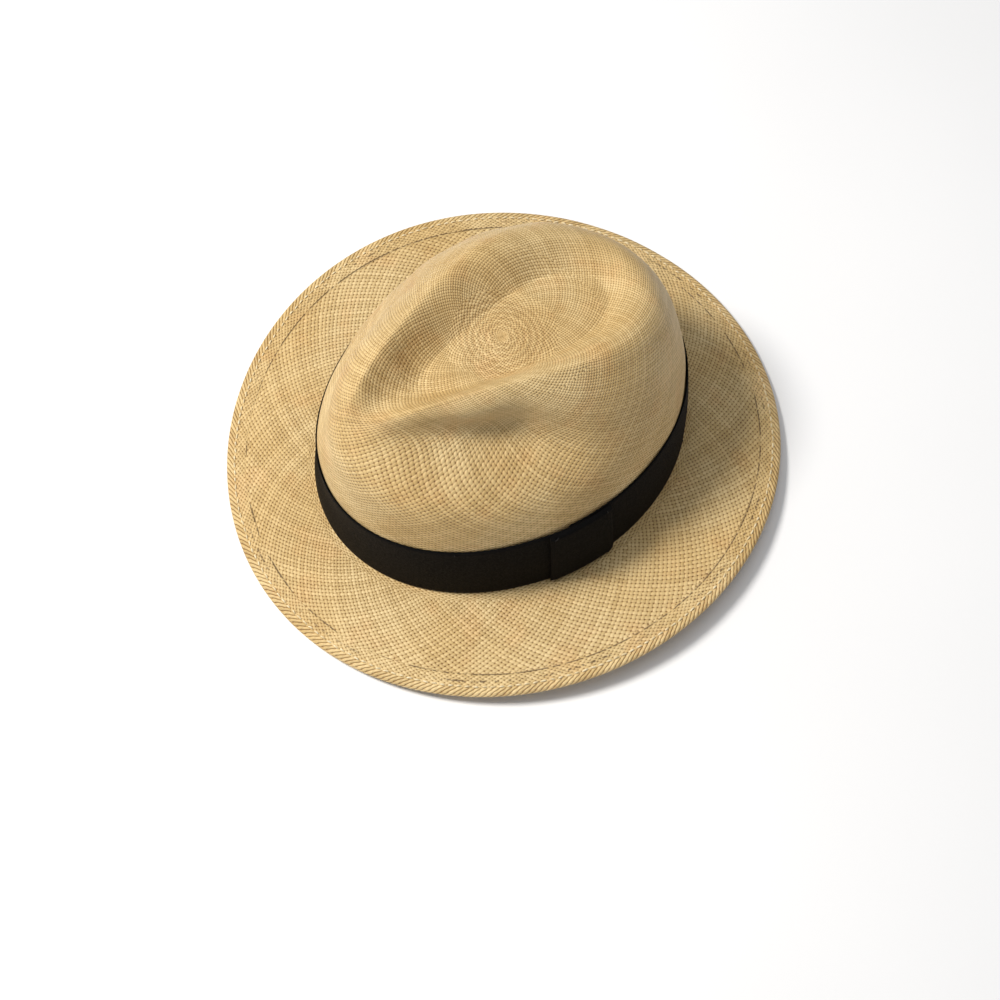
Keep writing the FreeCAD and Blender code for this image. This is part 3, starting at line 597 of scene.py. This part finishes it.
def straw_shade(n, place, light):
    """Straw without its weave: dark and light strands, dull blotches and a rosy cast in places."""
    base = n.mix(n.step(light, 0.15, 0.85), STRAW_DARK, STRAW_LIGHT)
    blotch = n.noise(place, 22, 3.0, 0.55)
    base = n.mix(n.step(blotch, 0.36, 0.66), n.tint(base, STRAW_DULL), base)
    rosy = n.step(n.noise(n.shift(place, 0.77), 60, 2.0), 0.52, 0.72, 0.0, 0.25)
    return n.mix(rosy, base, n.tint(base, STRAW_ROSY))


def straw_material(name, strands, depth, gap_shade=1.0, shade=1.0, part=""):
    """Plain weave of flat straw strands, from the two strand numbers in the weave map."""
    n = Nodes(name)
    place = n.position()
    u, v = n.uv()
    across = n.mul(n.sub(u, v), 0.5 / HEM_RATE)      # on the hem: millimetres out from its border
    u = n.add(u, n.sway(place, 260, 1.5, 0.34))
    v = n.add(v, n.sway(n.shift(place, 0.31), 260, 1.5, 0.34))
    cell_u, cell_v = n.cell(u), n.cell(v)
    floor_u, floor_v = n.math("FLOOR", u), n.math("FLOOR", v)
    parity = n.math("FLOORED_MODULO", n.add(floor_u, floor_v), 2.0)
    over = n.sub(1.0, n.mul(parity, 2.0))
    random_u = n.random(n.math("FLOORED_MODULO", floor_u, strands))
    random_v = n.random(n.add(n.math("FLOORED_MODULO", floor_v, strands), 517.3))
    # each strand's width and height differ a little, and one family stands prouder in patches
    patch = n.sway(place, 34, 2.0, 0.35)
    if part == "hem":
        patch = n.add(patch, n.step(across, 7.0, 9.0, 0.0, 0.55))
    width_u, width_v = (n.add(0.44, n.mul(random, 0.055)) for random in (random_u, random_v))
    section_u, height_u = strand(n, cell_u, cell_v, over, width_u, patch)
    section_v, height_v = strand(n, cell_v, cell_u, n.mul(over, -1.0), width_v, n.mul(patch, -1.0))
    height = n.math("SMOOTH_MAX", height_u, height_v, 0.03)
    top = n.step(n.sub(height_u, height_v), -0.025, 0.025)
    # colour: each strand its own tone and fine streaks along it; painted shade where strands dive
    # under and in the gaps where they meet
    streak_u = n.noise(n.vector(n.mul(u, 9.0), n.mul(v, 0.55), 0.0), 1.0, 2.0)
    streak_v = n.noise(n.vector(n.mul(v, 9.0), n.mul(u, 0.55), 4.0), 1.0, 2.0)
    tone = n.split(n.mix(top, n.vector(random_v, streak_v), n.vector(random_u, streak_u)))
    base = straw_shade(n, place, n.add(n.mul(tone[0], 0.4), n.mul(tone[1], 0.6)))
    # painted shade: the colour is tinted darker where the weave's height is low, in the valleys
    # where a strand dives under its neighbour
    colour = n.mix(n.step(height, 0.25, 0.7), n.tint(base, STRAW_PAINTED_VALLEY_SHADE), base)
    # painted shade: where no strand lies, in the gaps between strands, the colour goes near black
    # for the shade inside them; the fourth argument sets how strong it is
    straw_here = n.math("MAXIMUM", section_u, section_v)
    colour = n.mix(n.step(straw_here, 0.08, 0.58, 1.0 - 0.97 * gap_shade, 1.0), STRAW_PAINTED_GAP_SHADE, colour)
    if shade != 1.0:
        colour = n.tint(colour, (shade, shade, shade, 1.0))
    if part == "crown":
        colour, height = rosette_rings(n, place, colour, base, height)
    if part == "hem":
        colour, height = hem_border(n, place, across, colour, height)
    rough = n.step(streak_u, 0.3, 0.7, 0.44, 0.58)
    fine = n.add(height, n.mul(n.mix_value(top, streak_v, streak_u), 0.1))
    return n.finish(colour, rough, fine, depth, 1.0, Specular_IOR_Level=0.4)


def ribbon_material(name, along=True, darkness=1.0, ribs_per_mm=1.75, warps_per_mm=3.2):
    """Grosgrain: round ribs across the ribbon, with fine warp threads over them."""
    dark, light, painted_sheen = (rgb(*(value * darkness for value in colour))
                         for colour in (RIBBON_DARK, RIBBON_LIGHT, RIBBON_PAINTED_SHEEN_BROWN))
    n = Nodes(name)
    place = n.position()
    run, across = n.uv() if along else reversed(n.uv())
    rib, warp = n.ribs(run, ribs_per_mm), n.ribs(across, warps_per_mm)
    number = n.random(n.math("FLOOR", n.mul(run, ribs_per_mm)))
    fuzz = n.noise(place, 900, 3.0)
    # painted sheen: in soft patches the black is mixed up to three tenths of the way towards a
    # lighter brown
    sheen_patches = n.noise(place, 45, 3.0)
    base = n.mix(n.step(n.add(n.mul(number, 0.4), n.mul(fuzz, 0.6)), 0.25, 0.8), dark, light)
    base = n.mix(n.step(sheen_patches, 0.45, 0.75, 0.0, 0.3), base, painted_sheen)
    # painted shade: the colour goes near black in the grooves between the ribs
    colour = n.mix(n.step(rib, 0.0, 0.6, 0.7, 0.0), base, RIBBON_PAINTED_GROOVE_SHADE)
    height = n.add(rib, n.mul(warp, 0.25))
    return n.finish(colour, n.step(fuzz, 0.3, 0.7, 0.62, 0.78), height, 0.00014, 1.0,
                    Specular_IOR_Level=0.08, Sheen_Weight=0.02, Sheen_Roughness=0.35,
                    Sheen_Tint=RIBBON_SHEEN)


def thread_material(name, dark, light, roughness=0.55):
    n = Nodes(name, roughness)
    place = n.position()
    twist = n.math("SINE", n.mul(n.noise(place, 1400, 1.0), 24.0))
    colour = n.mix(n.step(n.noise(place, 500, 2.0), 0.3, 0.7), dark, light)
    return n.finish(colour, n.step(twist, -1.0, 1.0, roughness - 0.08, roughness + 0.08), twist,
                    0.00006, 0.7, Specular_IOR_Level=0.4)


def leather_material(name):
    n = Nodes(name)
    place = n.position()
    cells = n.new("ShaderNodeTexVoronoi", feature="DISTANCE_TO_EDGE")
    n.link(place, cells.inputs["Vector"])
    n.link(900, cells.inputs["Scale"])
    grain = n.step(cells.outputs[0], 0.0, 0.35)
    soft = n.noise(place, 55, 4.0)
    pores = n.step(n.noise(place, 1700, 2.0), 0.3, 0.45)
    base = n.mix(n.step(soft, 0.3, 0.7), LEATHER_DARK, LEATHER_LIGHT)
    # painted shade: the colour goes dark brown in the grain's crevices and pores, where the bump is
    # low
    colour = n.mix(n.mul(grain, pores), LEATHER_PAINTED_CREVICE_SHADE, base)
    height = n.add(n.mul(grain, 0.7), n.mul(pores, 0.3))
    return n.finish(colour, n.step(soft, 0.3, 0.7, 0.42, 0.58), height, 0.00012, 0.8,
                    Specular_IOR_Level=0.45)


def cloth_material(name, dark, light, per_mm=2.4, depth=0.00008):
    """A small plain-woven tape or tag, its warp counted round the sweatband."""
    n = Nodes(name)
    place = n.position()
    x, y, z = n.split(place)
    around = n.mul(n.math("ARCTAN2", y, x), SWEATBAND_RADIUS * math.pi * per_mm)
    up = n.mul(z, math.pi * per_mm / MM)
    weave = n.mul(n.math("SINE", around), n.math("SINE", up))
    soft = n.noise(place, 160, 3.0)
    # painted light and shade: the colour is lighter on the weave's raised crossings and darker in
    # its low ones
    colour = n.mix(n.step(n.add(n.mul(weave, 0.25), soft), 0.2, 0.8), dark, light)
    return n.finish(colour, n.step(soft, 0.3, 0.7, 0.7, 0.85), weave, depth, 0.8)


def reed_material(name):
    n = Nodes(name, 0.5)
    place = n.position()
    streak = n.noise(place, 420, 3.0)
    colour = n.mix(n.step(streak, 0.3, 0.7), REED_DARK, REED_LIGHT)
    return n.finish(colour, n.step(streak, 0.3, 0.7, 0.4, 0.55), streak, 0.0001, 0.5)


# ---------------------------------------------------------------- the straw

CROWN_ROWS, BRIM_ROWS, CROWN_TOP = 150, 44, 0.0035
BRIM_END = 0.79                                      # share of the brim where the hem starts
WALL_STRANDS, BRIM_STRANDS, HEM_STRANDS, INSIDE_STRANDS = 170.0, 240.0, 300.0, 200.0
WALL_RATE, BRIM_RATE, HEM_RATE, INSIDE_RATE = 0.56, 0.40, 0.5, 0.5   # crossed per millimetre out
RINGS = ((50.0, 170.0), (26.0, 120.0), (13.0, 60.0), (6.5, 30.0), (0.0, 16.0))
BEND_STEPS, LIP_STEPS = [0.8] * 3, [1.0, 1.2, 1.2, 1.2]              # length walked past the crown


def outside_rows():
    """The outside of the straw row by row, with each crown row's distance from the middle."""
    angle = turns_of(AROUND)
    last = 1 - BREAK_RADIUS / (CROWN_HEIGHT + HALF_WIDTH)
    fractions = last * np.linspace(CROWN_TOP, 1, CROWN_ROWS)
    rows, length = crown(angle, fractions)
    start = BREAK_RADIUS / BRIM_WIDTH
    foot, corner, out = rows[-1], brim(angle, 0.0), brim(angle, start)
    bend = [foot * (1 - t) ** 2 + corner * 2 * t * (1 - t) + out * t ** 2
            for t in (0.25, 0.5, 0.75)]
    flat = [brim(angle, share) for share in np.linspace(start, BRIM_END, BRIM_ROWS)]
    return rows, np.array(bend), np.array(flat), fractions * length.mean()


def weave_map(walked, strands):
    """Strand numbers of both families on a grid one column wider than the mesh."""
    around = strands * np.linspace(0, 1, AROUND + 1)[None, :]
    return around + walked[:, None], around - walked[:, None]


def straw_crown(material, rows, bend, flat, distance):
    """Crown from its rosette to just past the head line."""
    lip, after = flat[:len(LIP_STEPS)], flat[len(LIP_STEPS)]
    points = np.concatenate([rows, bend, lip])
    walked = np.concatenate([distance, distance[-1] + np.cumsum(BEND_STEPS + LIP_STEPS)])
    count = len(points)
    normals = grid_normals(np.concatenate([points, after[None]]))[:-1]
    fade = smooth((walked - 4) / 10) * smooth((walked[-1] - 8 - walked) / 10)
    points = points + normals * (ripple(points, 26, 3, 0.16) * fade[:, None])[..., None]
    normals = grid_normals(np.concatenate([points, after[None]]))[:-1]
    uv = []
    for i in range(count - 1):
        strands = next(value for radius, value in RINGS if walked[i] >= radius)
        uv.append(corner_uv(*weave_map(walked[i:i + 2] * WALL_RATE, strands), 2, AROUND))
    strand_number = RINGS[-1][1] * (np.arange(AROUND)[:, None] + [0.5, 0, 1]) / AROUND
    uv.append(np.stack([strand_number, strand_number * [-1, 1, 1]], -1).reshape(-1, 2))
    verts = np.concatenate([points.reshape(-1, 3), points[0].mean(axis=0)[None]])
    normals = np.concatenate([normals.reshape(-1, 3), normals[1].mean(axis=0)[None]])
    faces = grid_faces(count, AROUND).tolist() + fan_faces(count * AROUND).tolist()
    return add_mesh("straw_crown", verts, faces, material, np.concatenate(uv), normals)


def straw_brim(material, flat):
    """Top of the brim, from just past the head line to the hem."""
    before, points = flat[2:3], flat[3:]
    count = len(points)
    normals = grid_normals(flat[2:])[1:]
    fade = smooth(np.arange(count) / 8.0)[:, None]
    walked = np.linalg.norm(np.diff(points, axis=0), axis=-1).mean(axis=1)
    walked = np.concatenate([[0], np.cumsum(walked)])
    points = points + normals * (ripple(points, 42, 11, 0.22) * fade)[..., None]
    normals = grid_normals(np.concatenate([before, points]))[1:]
    uv = corner_uv(*weave_map(walked * BRIM_RATE, BRIM_STRANDS), count, AROUND)
    piece = add_mesh("straw_brim", points.reshape(-1, 3), grid_faces(count, AROUND), material, uv,
                     normals.reshape(-1, 3))
    return piece, points[-1]


def bell(value, middle, width):
    return math.exp(-((value - middle) / width) ** 2)


def straw_hem(material, inner_top):
    """The edge folded under, from its inner border on top round to its inner border below."""
    angle = turns_of(AROUND)
    rows, out = [inner_top], [HEM_START]
    for inset in HEM_TOP_INSETS:
        point = inset_brim(angle, inset)
        puff = HEM_PUFF * math.sin(math.pi * min(max((11.2 - inset) / 10.4, 0), 1)) ** 0.5
        puff -= HEM_SEAM * bell(inset, HEM_SEAM_INSET, 0.7)
        puff -= HEM_FURROW * bell(inset, HEM_FURROW_INSET, 0.5)
        point[:, 2] += puff
        rows.append(point)
        out.append(inset)
    edge = brim(angle, 1.0)
    nx, ny = outward(angle)
    radius = HEM_THICKNESS / 2
    for turn in np.linspace(0.22, 1, 9) * math.pi:
        reach = radius * math.sin(turn) - radius
        drop = radius * math.cos(turn) - radius
        rows.append(edge + np.stack([nx * reach, ny * reach, np.full(AROUND, drop)], -1))
        out.append(out[-1] - HEM_EDGE_STEP)
    for inset in HEM_BELOW_INSETS:
        point = inset_brim(angle, inset)
        point[:, 2] -= HEM_THICKNESS - 0.06 - 0.22 * bell(inset, HEM_SEAM_INSET, 0.8)
        rows.append(point)
        out.append(-3.0 - (inset - HEM_BELOW_INSETS[0]))
    last = inset_brim(angle, HEM_START)
    last[:, 2] -= STRAW
    points = np.array(rows + [last])
    out = np.array(out + [HEM_LAST])
    points[1:, :, 2] += ripple(points[1:], 30, 5, 0.05) - 0.02
    points[..., 2] = np.maximum(points[..., 2], LOWEST)
    count = len(points)
    uv = corner_uv(*weave_map((out[0] - out) * HEM_RATE, HEM_STRANDS), count, AROUND)
    piece = add_mesh("straw_hem", points.reshape(-1, 3), grid_faces(count, AROUND), material, uv)
    return piece, points[-1]


def straw_inside(material, rows, bend, flat, distance, hem_last):
    """Underside of the brim and inside of the crown, at every second row of the outside."""
    outside = np.concatenate([rows, bend, flat])
    under = (outside - grid_normals(outside) * STRAW)[::2]
    under = np.concatenate([under, hem_last[None]])
    past = np.cumsum(BEND_STEPS + [0.9] * len(flat))
    walked = np.concatenate([distance, distance[-1] + past])[::2]
    walked = np.append(walked, walked[-1] + 1.0)
    count = len(under)
    uv = corner_uv(*weave_map(walked * INSIDE_RATE, INSIDE_STRANDS), count, AROUND, flip=True)
    verts = np.concatenate([under.reshape(-1, 3), under[0].mean(axis=0)[None]])
    faces = grid_faces(count, AROUND, flip=True).tolist()
    faces += fan_faces(count * AROUND, flip=True).tolist()
    return add_mesh("straw_inside", verts, faces, material,
                    np.concatenate([uv, np.zeros((3 * AROUND, 2))]))


def make_straw():
    rows, bend, flat, distance = outside_rows()
    crown_straw = straw_material("straw_crown_weave", WALL_STRANDS, 0.00042, 0.75, part="crown")
    brim_straw = straw_material("straw_brim_weave", BRIM_STRANDS, 0.00052)
    inside_straw = straw_material("straw_inside_weave", INSIDE_STRANDS, 0.00026, 0.9, 0.9)
    hem_straw = straw_material("straw_hem_weave", HEM_STRANDS, 0.0004, 0.9, part="hem")
    crown_piece = straw_crown(crown_straw, rows, bend, flat, distance)
    brim_piece, brim_end = straw_brim(brim_straw, flat)
    hem_piece, hem_last = straw_hem(hem_straw, brim_end)
    inside_piece = straw_inside(inside_straw, rows, bend, flat, distance, hem_last)
    for piece in (crown_piece, brim_piece, hem_piece, inside_piece):
        stand_in(piece, "woven_body")


def even_turns(line, pitch):
    """Angles that divide a closed line into equal lengths of about this pitch."""
    fine = np.linspace(0, FULL_TURN, 2881)
    walked = walked_along(line(fine))
    count = round(walked[-1] / pitch)
    return np.interp(walked[-1] * np.arange(count) / count, walked, fine)


def make_hem_stitches(material):
    """The light running stitches on top of the hem, no two quite alike."""
    def line(turn):
        return inset_brim(turn, HEM_SEAM_INSET)
    starts = even_turns(line, STITCH_PITCH)
    # twelve numbers are drawn for a stitch, and the first three are its length, slant and place
    draws = np.random.default_rng(41).normal(size=(len(starts), 12))
    steps = np.linspace(-0.5, 0.5, 9)
    paths = []
    for start, (longer, skew, shift) in zip(starts, draws[:, :3] * (0.25, 0.16, 0.12)):
        per_mm = 1 / np.linalg.norm(line(start + 0.001) - line(start - 0.001)) * 0.002
        path = inset_brim(start + steps * (STITCH_LENGTH + longer) * per_mm,
                          HEM_SEAM_INSET + shift + skew * 2 * steps)
        path[:, 2] += STITCH_LIFT - 4.0 * np.abs(steps) ** 2.4
        paths.append(path)
    piece = threads("hem_stitch_row", paths, STITCH_RADIUS, material)
    stand_in(piece, "hem_stitches")


# ---------------------------------------------------------------- ribbon

def make_hat_band(material):
    """The grosgrain ribbon, drawn round the crown and lapped under the bow."""
    start = arc_angle(math.radians(BOW_ANGLE), -RIBBON_LAP / 2)
    turn = (FULL_TURN + RIBBON_LAP / HALF_LENGTH) * np.linspace(0, 1, 621)
    angle = start + turn
    lapped = smooth((turn - FULL_TURN + LAP_ANGLE) / LAP_ANGLE) * LAP_LIFT
    low, high = RIBBON_LIFT, RIBBON_LIFT + RIBBON_WIDTH
    heights = np.linspace(low, high, 15)
    outer = []
    for height in heights:
        bulge = 0.05 * np.sin(np.pi * (height - low) / RIBBON_WIDTH)
        edge = RIBBON_SELVEDGE * (bell(height, low, RIBBON_SELVEDGE_WIDTH)
                                  + bell(height, high, RIBBON_SELVEDGE_WIDTH))
        offset = RIBBON_GAP + RIBBON_THICKNESS + lapped + bulge + edge
        outer.append(wall(angle, height, offset))
    inner = [wall(angle, height, RIBBON_GAP + 0.12 + lapped) for height in heights[::-1]]
    piece = strip("hat_ribbon", np.array(outer + inner)[::-1], material, False)
    length = float(walked_along(outer[7])[-1])
    return stand_in(piece, "hat_band"), length


def make_bow(material):
    """The flat keeper of folded ribbon that covers the lap."""
    middle = math.radians(BOW_ANGLE)
    first, last = arc_angle(middle, -BOW_LENGTH / 2), arc_angle(middle, BOW_LENGTH / 2)
    share = np.linspace(0, 1, 73)
    angle = first + (last - first) * share
    low, high = RIBBON_LIFT - BOW_OVERHANG, RIBBON_LIFT + RIBBON_WIDTH + BOW_OVERHANG / 2
    side = smooth(share / 0.05) * smooth((1 - share) / 0.05)
    heights = np.linspace(low, high, 21)
    outer = []
    for height in heights:
        near_end = min(height - low, high - height)
        roll = math.sqrt(max(1 - (1 - min(near_end / BOW_ROLL, 1)) ** 2, 0))
        offset = BOW_FLOOR + 0.1 + (BOW_THICKNESS - 0.1) * roll * (0.72 + 0.28 * side)
        outer.append(wall(angle, height, offset))
    inner = [wall(angle, height, BOW_FLOOR + 0.02) for height in heights[::-1]]
    piece = strip("bow_ribbon", np.array(outer + inner)[::-1], material, False)
    return stand_in(piece, "flat_bow")


def make_tacks(material):
    """Small upright stitches on the ribbon and at the bow's corners."""
    def tack(angle, height, offset, tilt):
        t = np.linspace(-1, 1, 7)
        lift = 0.28 - 0.4 * np.abs(t) ** 2.5
        return wall(angle + tilt * t * 0.004, height + TACK_HALF_LENGTH * t, offset + lift)
    random = np.random.default_rng(9)
    low, high = RIBBON_LIFT, RIBBON_LIFT + RIBBON_WIDTH
    band = [tack(math.radians(place), height, RIBBON_GAP + RIBBON_THICKNESS, random.normal())
            for place in TACK_PLACES for height in (low + 2, high - 2)]
    middle = math.radians(BOW_ANGLE)
    ends = (arc_angle(middle, -BOW_LENGTH / 2) + 0.03, arc_angle(middle, BOW_LENGTH / 2) - 0.03)
    bow = [tack(angle, height, BOW_FLOOR + BOW_THICKNESS - 0.1, random.normal())
           for angle in ends for height in (low + 1.5, high - 1.5)]
    stand_in(threads("band_tack_threads", band, TACK_RADIUS, material), "band_tacks")
    stand_in(threads("bow_tack_threads", bow, TACK_RADIUS, material), "bow_tacks")


# ---------------------------------------------------------------- sweatband and fittings

def make_sweatband(material):
    """The leather band, flat against the straw and a little crimped towards its top."""
    angle = turns_of(360)
    heights = np.linspace(SWEATBAND_FOOT, SWEATBAND_FOOT + SWEATBAND_HEIGHT, 13)
    stack = [sweat_point(angle, rise, 0.0) for rise in heights]
    for rise in heights[::-1]:
        above = (rise - SWEATBAND_FOOT) / SWEATBAND_HEIGHT
        crimp = 0.22 * np.sin(angle * 23 + 1.1) * above ** 2 + 0.12 * np.sin(angle * 41) * above
        edge = 0.35 * smooth((above - 0.96) / 0.04) + 0.3 * smooth((0.05 - above) / 0.05)
        stack.append(sweat_point(angle, rise, SWEATBAND_THICKNESS - edge + crimp * 0.3))
    stand_in(strip("leather_sweatband", np.array(stack), material, True), "sweatband")


def make_sweat_stitches(material):
    """The row of brown stitches near the sweatband's foot."""
    random = np.random.default_rng(77)
    starts = even_turns(lambda turn: sweat_point(turn, SWEATBAND_SEAM, SWEATBAND_THICKNESS),
                        SWEAT_STITCH_PITCH)
    t = np.linspace(-0.5, 0.5, 7)
    depth = SWEATBAND_THICKNESS + 0.22 - 3.2 * np.abs(t) ** 3
    steps = t * SWEAT_STITCH_LENGTH / SWEATBAND_TURN
    paths = [sweat_point(start + steps, SWEATBAND_SEAM + random.normal() * 0.1, depth)
             for start in starts]
    piece = threads("sweatband_stitch_row", paths, SWEAT_STITCH_RADIUS, material)
    stand_in(piece, "sweatband_stitches")


# ---------------------------------------------------------------- finishes for the CAD pieces

def assign(node, material):
    """Give a carried-over CAD piece its material."""
    for piece in bpy.data.objects:
        if piece.type == "MESH" and piece.name.split(".")[0] == node:
            if not piece.material_slots:
                piece.data.materials.append(material)
            for slot in piece.material_slots:
                slot.material = material


# ---------------------------------------------------------------- studio

CAMERA_ANGLES = (56.82, 63.58, -2.99)                # azimuth, elevation and roll
CAMERA_DISTANCE, CAMERA_RIGHT, CAMERA_UP = 850.0, -0.53, -34.87
CAMERA_SENSOR, CAMERA_LENS, CAMERA_CLIP = 36.0, 57.83, (0.01, 20.0)
LIGHT_TARGET = np.array([0, 0, 0.05])
FLOOR_REACH = 4


def place_at(name, data, axes, place):
    """Put a camera or lamp in the scene, with its own x, y and z axes in these directions."""
    matrix = np.eye(4)
    matrix[:3] = np.stack([*axes, place], -1)
    thing = bpy.data.objects.new(name, data)
    thing.matrix_world = Matrix(matrix.tolist())
    bpy.context.scene.collection.objects.link(thing)
    return thing


def make_camera():
    """The camera, at the angle and distance from which the hat is shown."""
    azimuth, elevation, roll = (math.radians(value) for value in CAMERA_ANGLES)
    back = np.array([math.sin(azimuth) * math.cos(elevation),
                     -math.cos(azimuth) * math.cos(elevation), math.sin(elevation)])
    level = np.array([math.cos(azimuth), math.sin(azimuth), 0.0])
    steep = np.cross(back, level)
    right = level * math.cos(roll) + steep * math.sin(roll)
    up = steep * math.cos(roll) - level * math.sin(roll)
    place = (np.array([0, 0, HEAD_LINE]) + CAMERA_RIGHT * right + CAMERA_UP * up
             + CAMERA_DISTANCE * back)
    data = bpy.data.cameras.new("camera")
    data.sensor_width = CAMERA_SENSOR
    data.lens = CAMERA_LENS
    data.clip_start, data.clip_end = CAMERA_CLIP
    bpy.context.scene.camera = place_at("camera", data, (right, up, back), place * MM)


def area_light(name, place, size, power, colour):
    """A round soft light that shines at the hat."""
    data = bpy.data.lights.new(name, "AREA")
    data.shape = "DISK"
    data.size = size
    data.energy = power
    data.color = colour
    back = place - LIGHT_TARGET
    back /= np.linalg.norm(back)
    side = np.cross([0, 0, 1.0], back)
    side /= np.linalg.norm(side)
    place_at(name, data, (side, np.cross(back, side), back), place)


def make_studio():
    """A pale floor and soft light."""
    mesh = bpy.data.meshes.new("floor")
    corners = [(-1, -1), (1, -1), (1, 1), (-1, 1)]
    mesh.from_pydata([(x * FLOOR_REACH, y * FLOOR_REACH, 0) for x, y in corners], [],
                     [[0, 1, 2, 3]])
    floor = bpy.data.objects.new("floor", mesh)
    bpy.context.scene.collection.objects.link(floor)
    n = Nodes("floor_paper", 0.9)
    paper = n.step(n.noise(n.position(), 3.0, 2.0), 0.3, 0.7)
    mesh.materials.append(n.finish(n.mix(paper, rgb(250, 250, 251), rgb(253, 253, 254))))
    world = bpy.data.worlds.new("world")
    world.use_nodes = True
    colour, strength = world.node_tree.nodes["Background"].inputs[:2]
    colour.default_value = (0.93, 0.96, 1.0, 1.0)
    strength.default_value = 0.3
    bpy.context.scene.world = world
    area_light("key", np.array([-0.48, -0.62, 1.24]), 0.42, 20.0, (1.0, 0.97, 0.92))
    area_light("top", np.array([-0.1, 0.1, 2.0]), 1.4, 6.0, (0.97, 0.98, 1.0))
    bpy.context.scene.view_settings.view_transform = "Standard"


# ---------------------------------------------------------------- build

make_camera()
make_straw()
straw_thread = thread_material("light_thread", rgb(230, 206, 158), rgb(252, 236, 198))
dark_thread = thread_material("black_thread", rgb(5, 5, 5), rgb(14, 12, 12), 0.75)
brown_thread = thread_material("brown_thread", rgb(78, 50, 30), rgb(120, 84, 52))
grosgrain = ribbon_material("black_grosgrain")
# painted shade: the bow's copy of the grosgrain is painted 0.8 times as dark, for the sheen it
# lacks beside the band
keeper = ribbon_material("black_grosgrain_turned", False, 0.8)
leather = leather_material("brown_leather")
make_hem_stitches(straw_thread)
band_piece, band_length = make_hat_band(grosgrain)
bow_piece = make_bow(keeper)
make_tacks(dark_thread)
make_sweatband(leather)
make_sweat_stitches(brown_thread)
assign("sweatband_reed", reed_material("reed_cane"))
assign("reed_binding", cloth_material("binding_tape", rgb(60, 42, 28), rgb(96, 70, 48)))
assign("join_bow", cloth_material("bow_satin", rgb(14, 12, 12), rgb(36, 31, 30), 1.8))
assign("join_stitches", brown_thread)
assign("tag_stitches", brown_thread)
assign("size_tag", cloth_material("tag_cloth", rgb(226, 216, 196), rgb(246, 240, 226), 2.6))
make_studio()
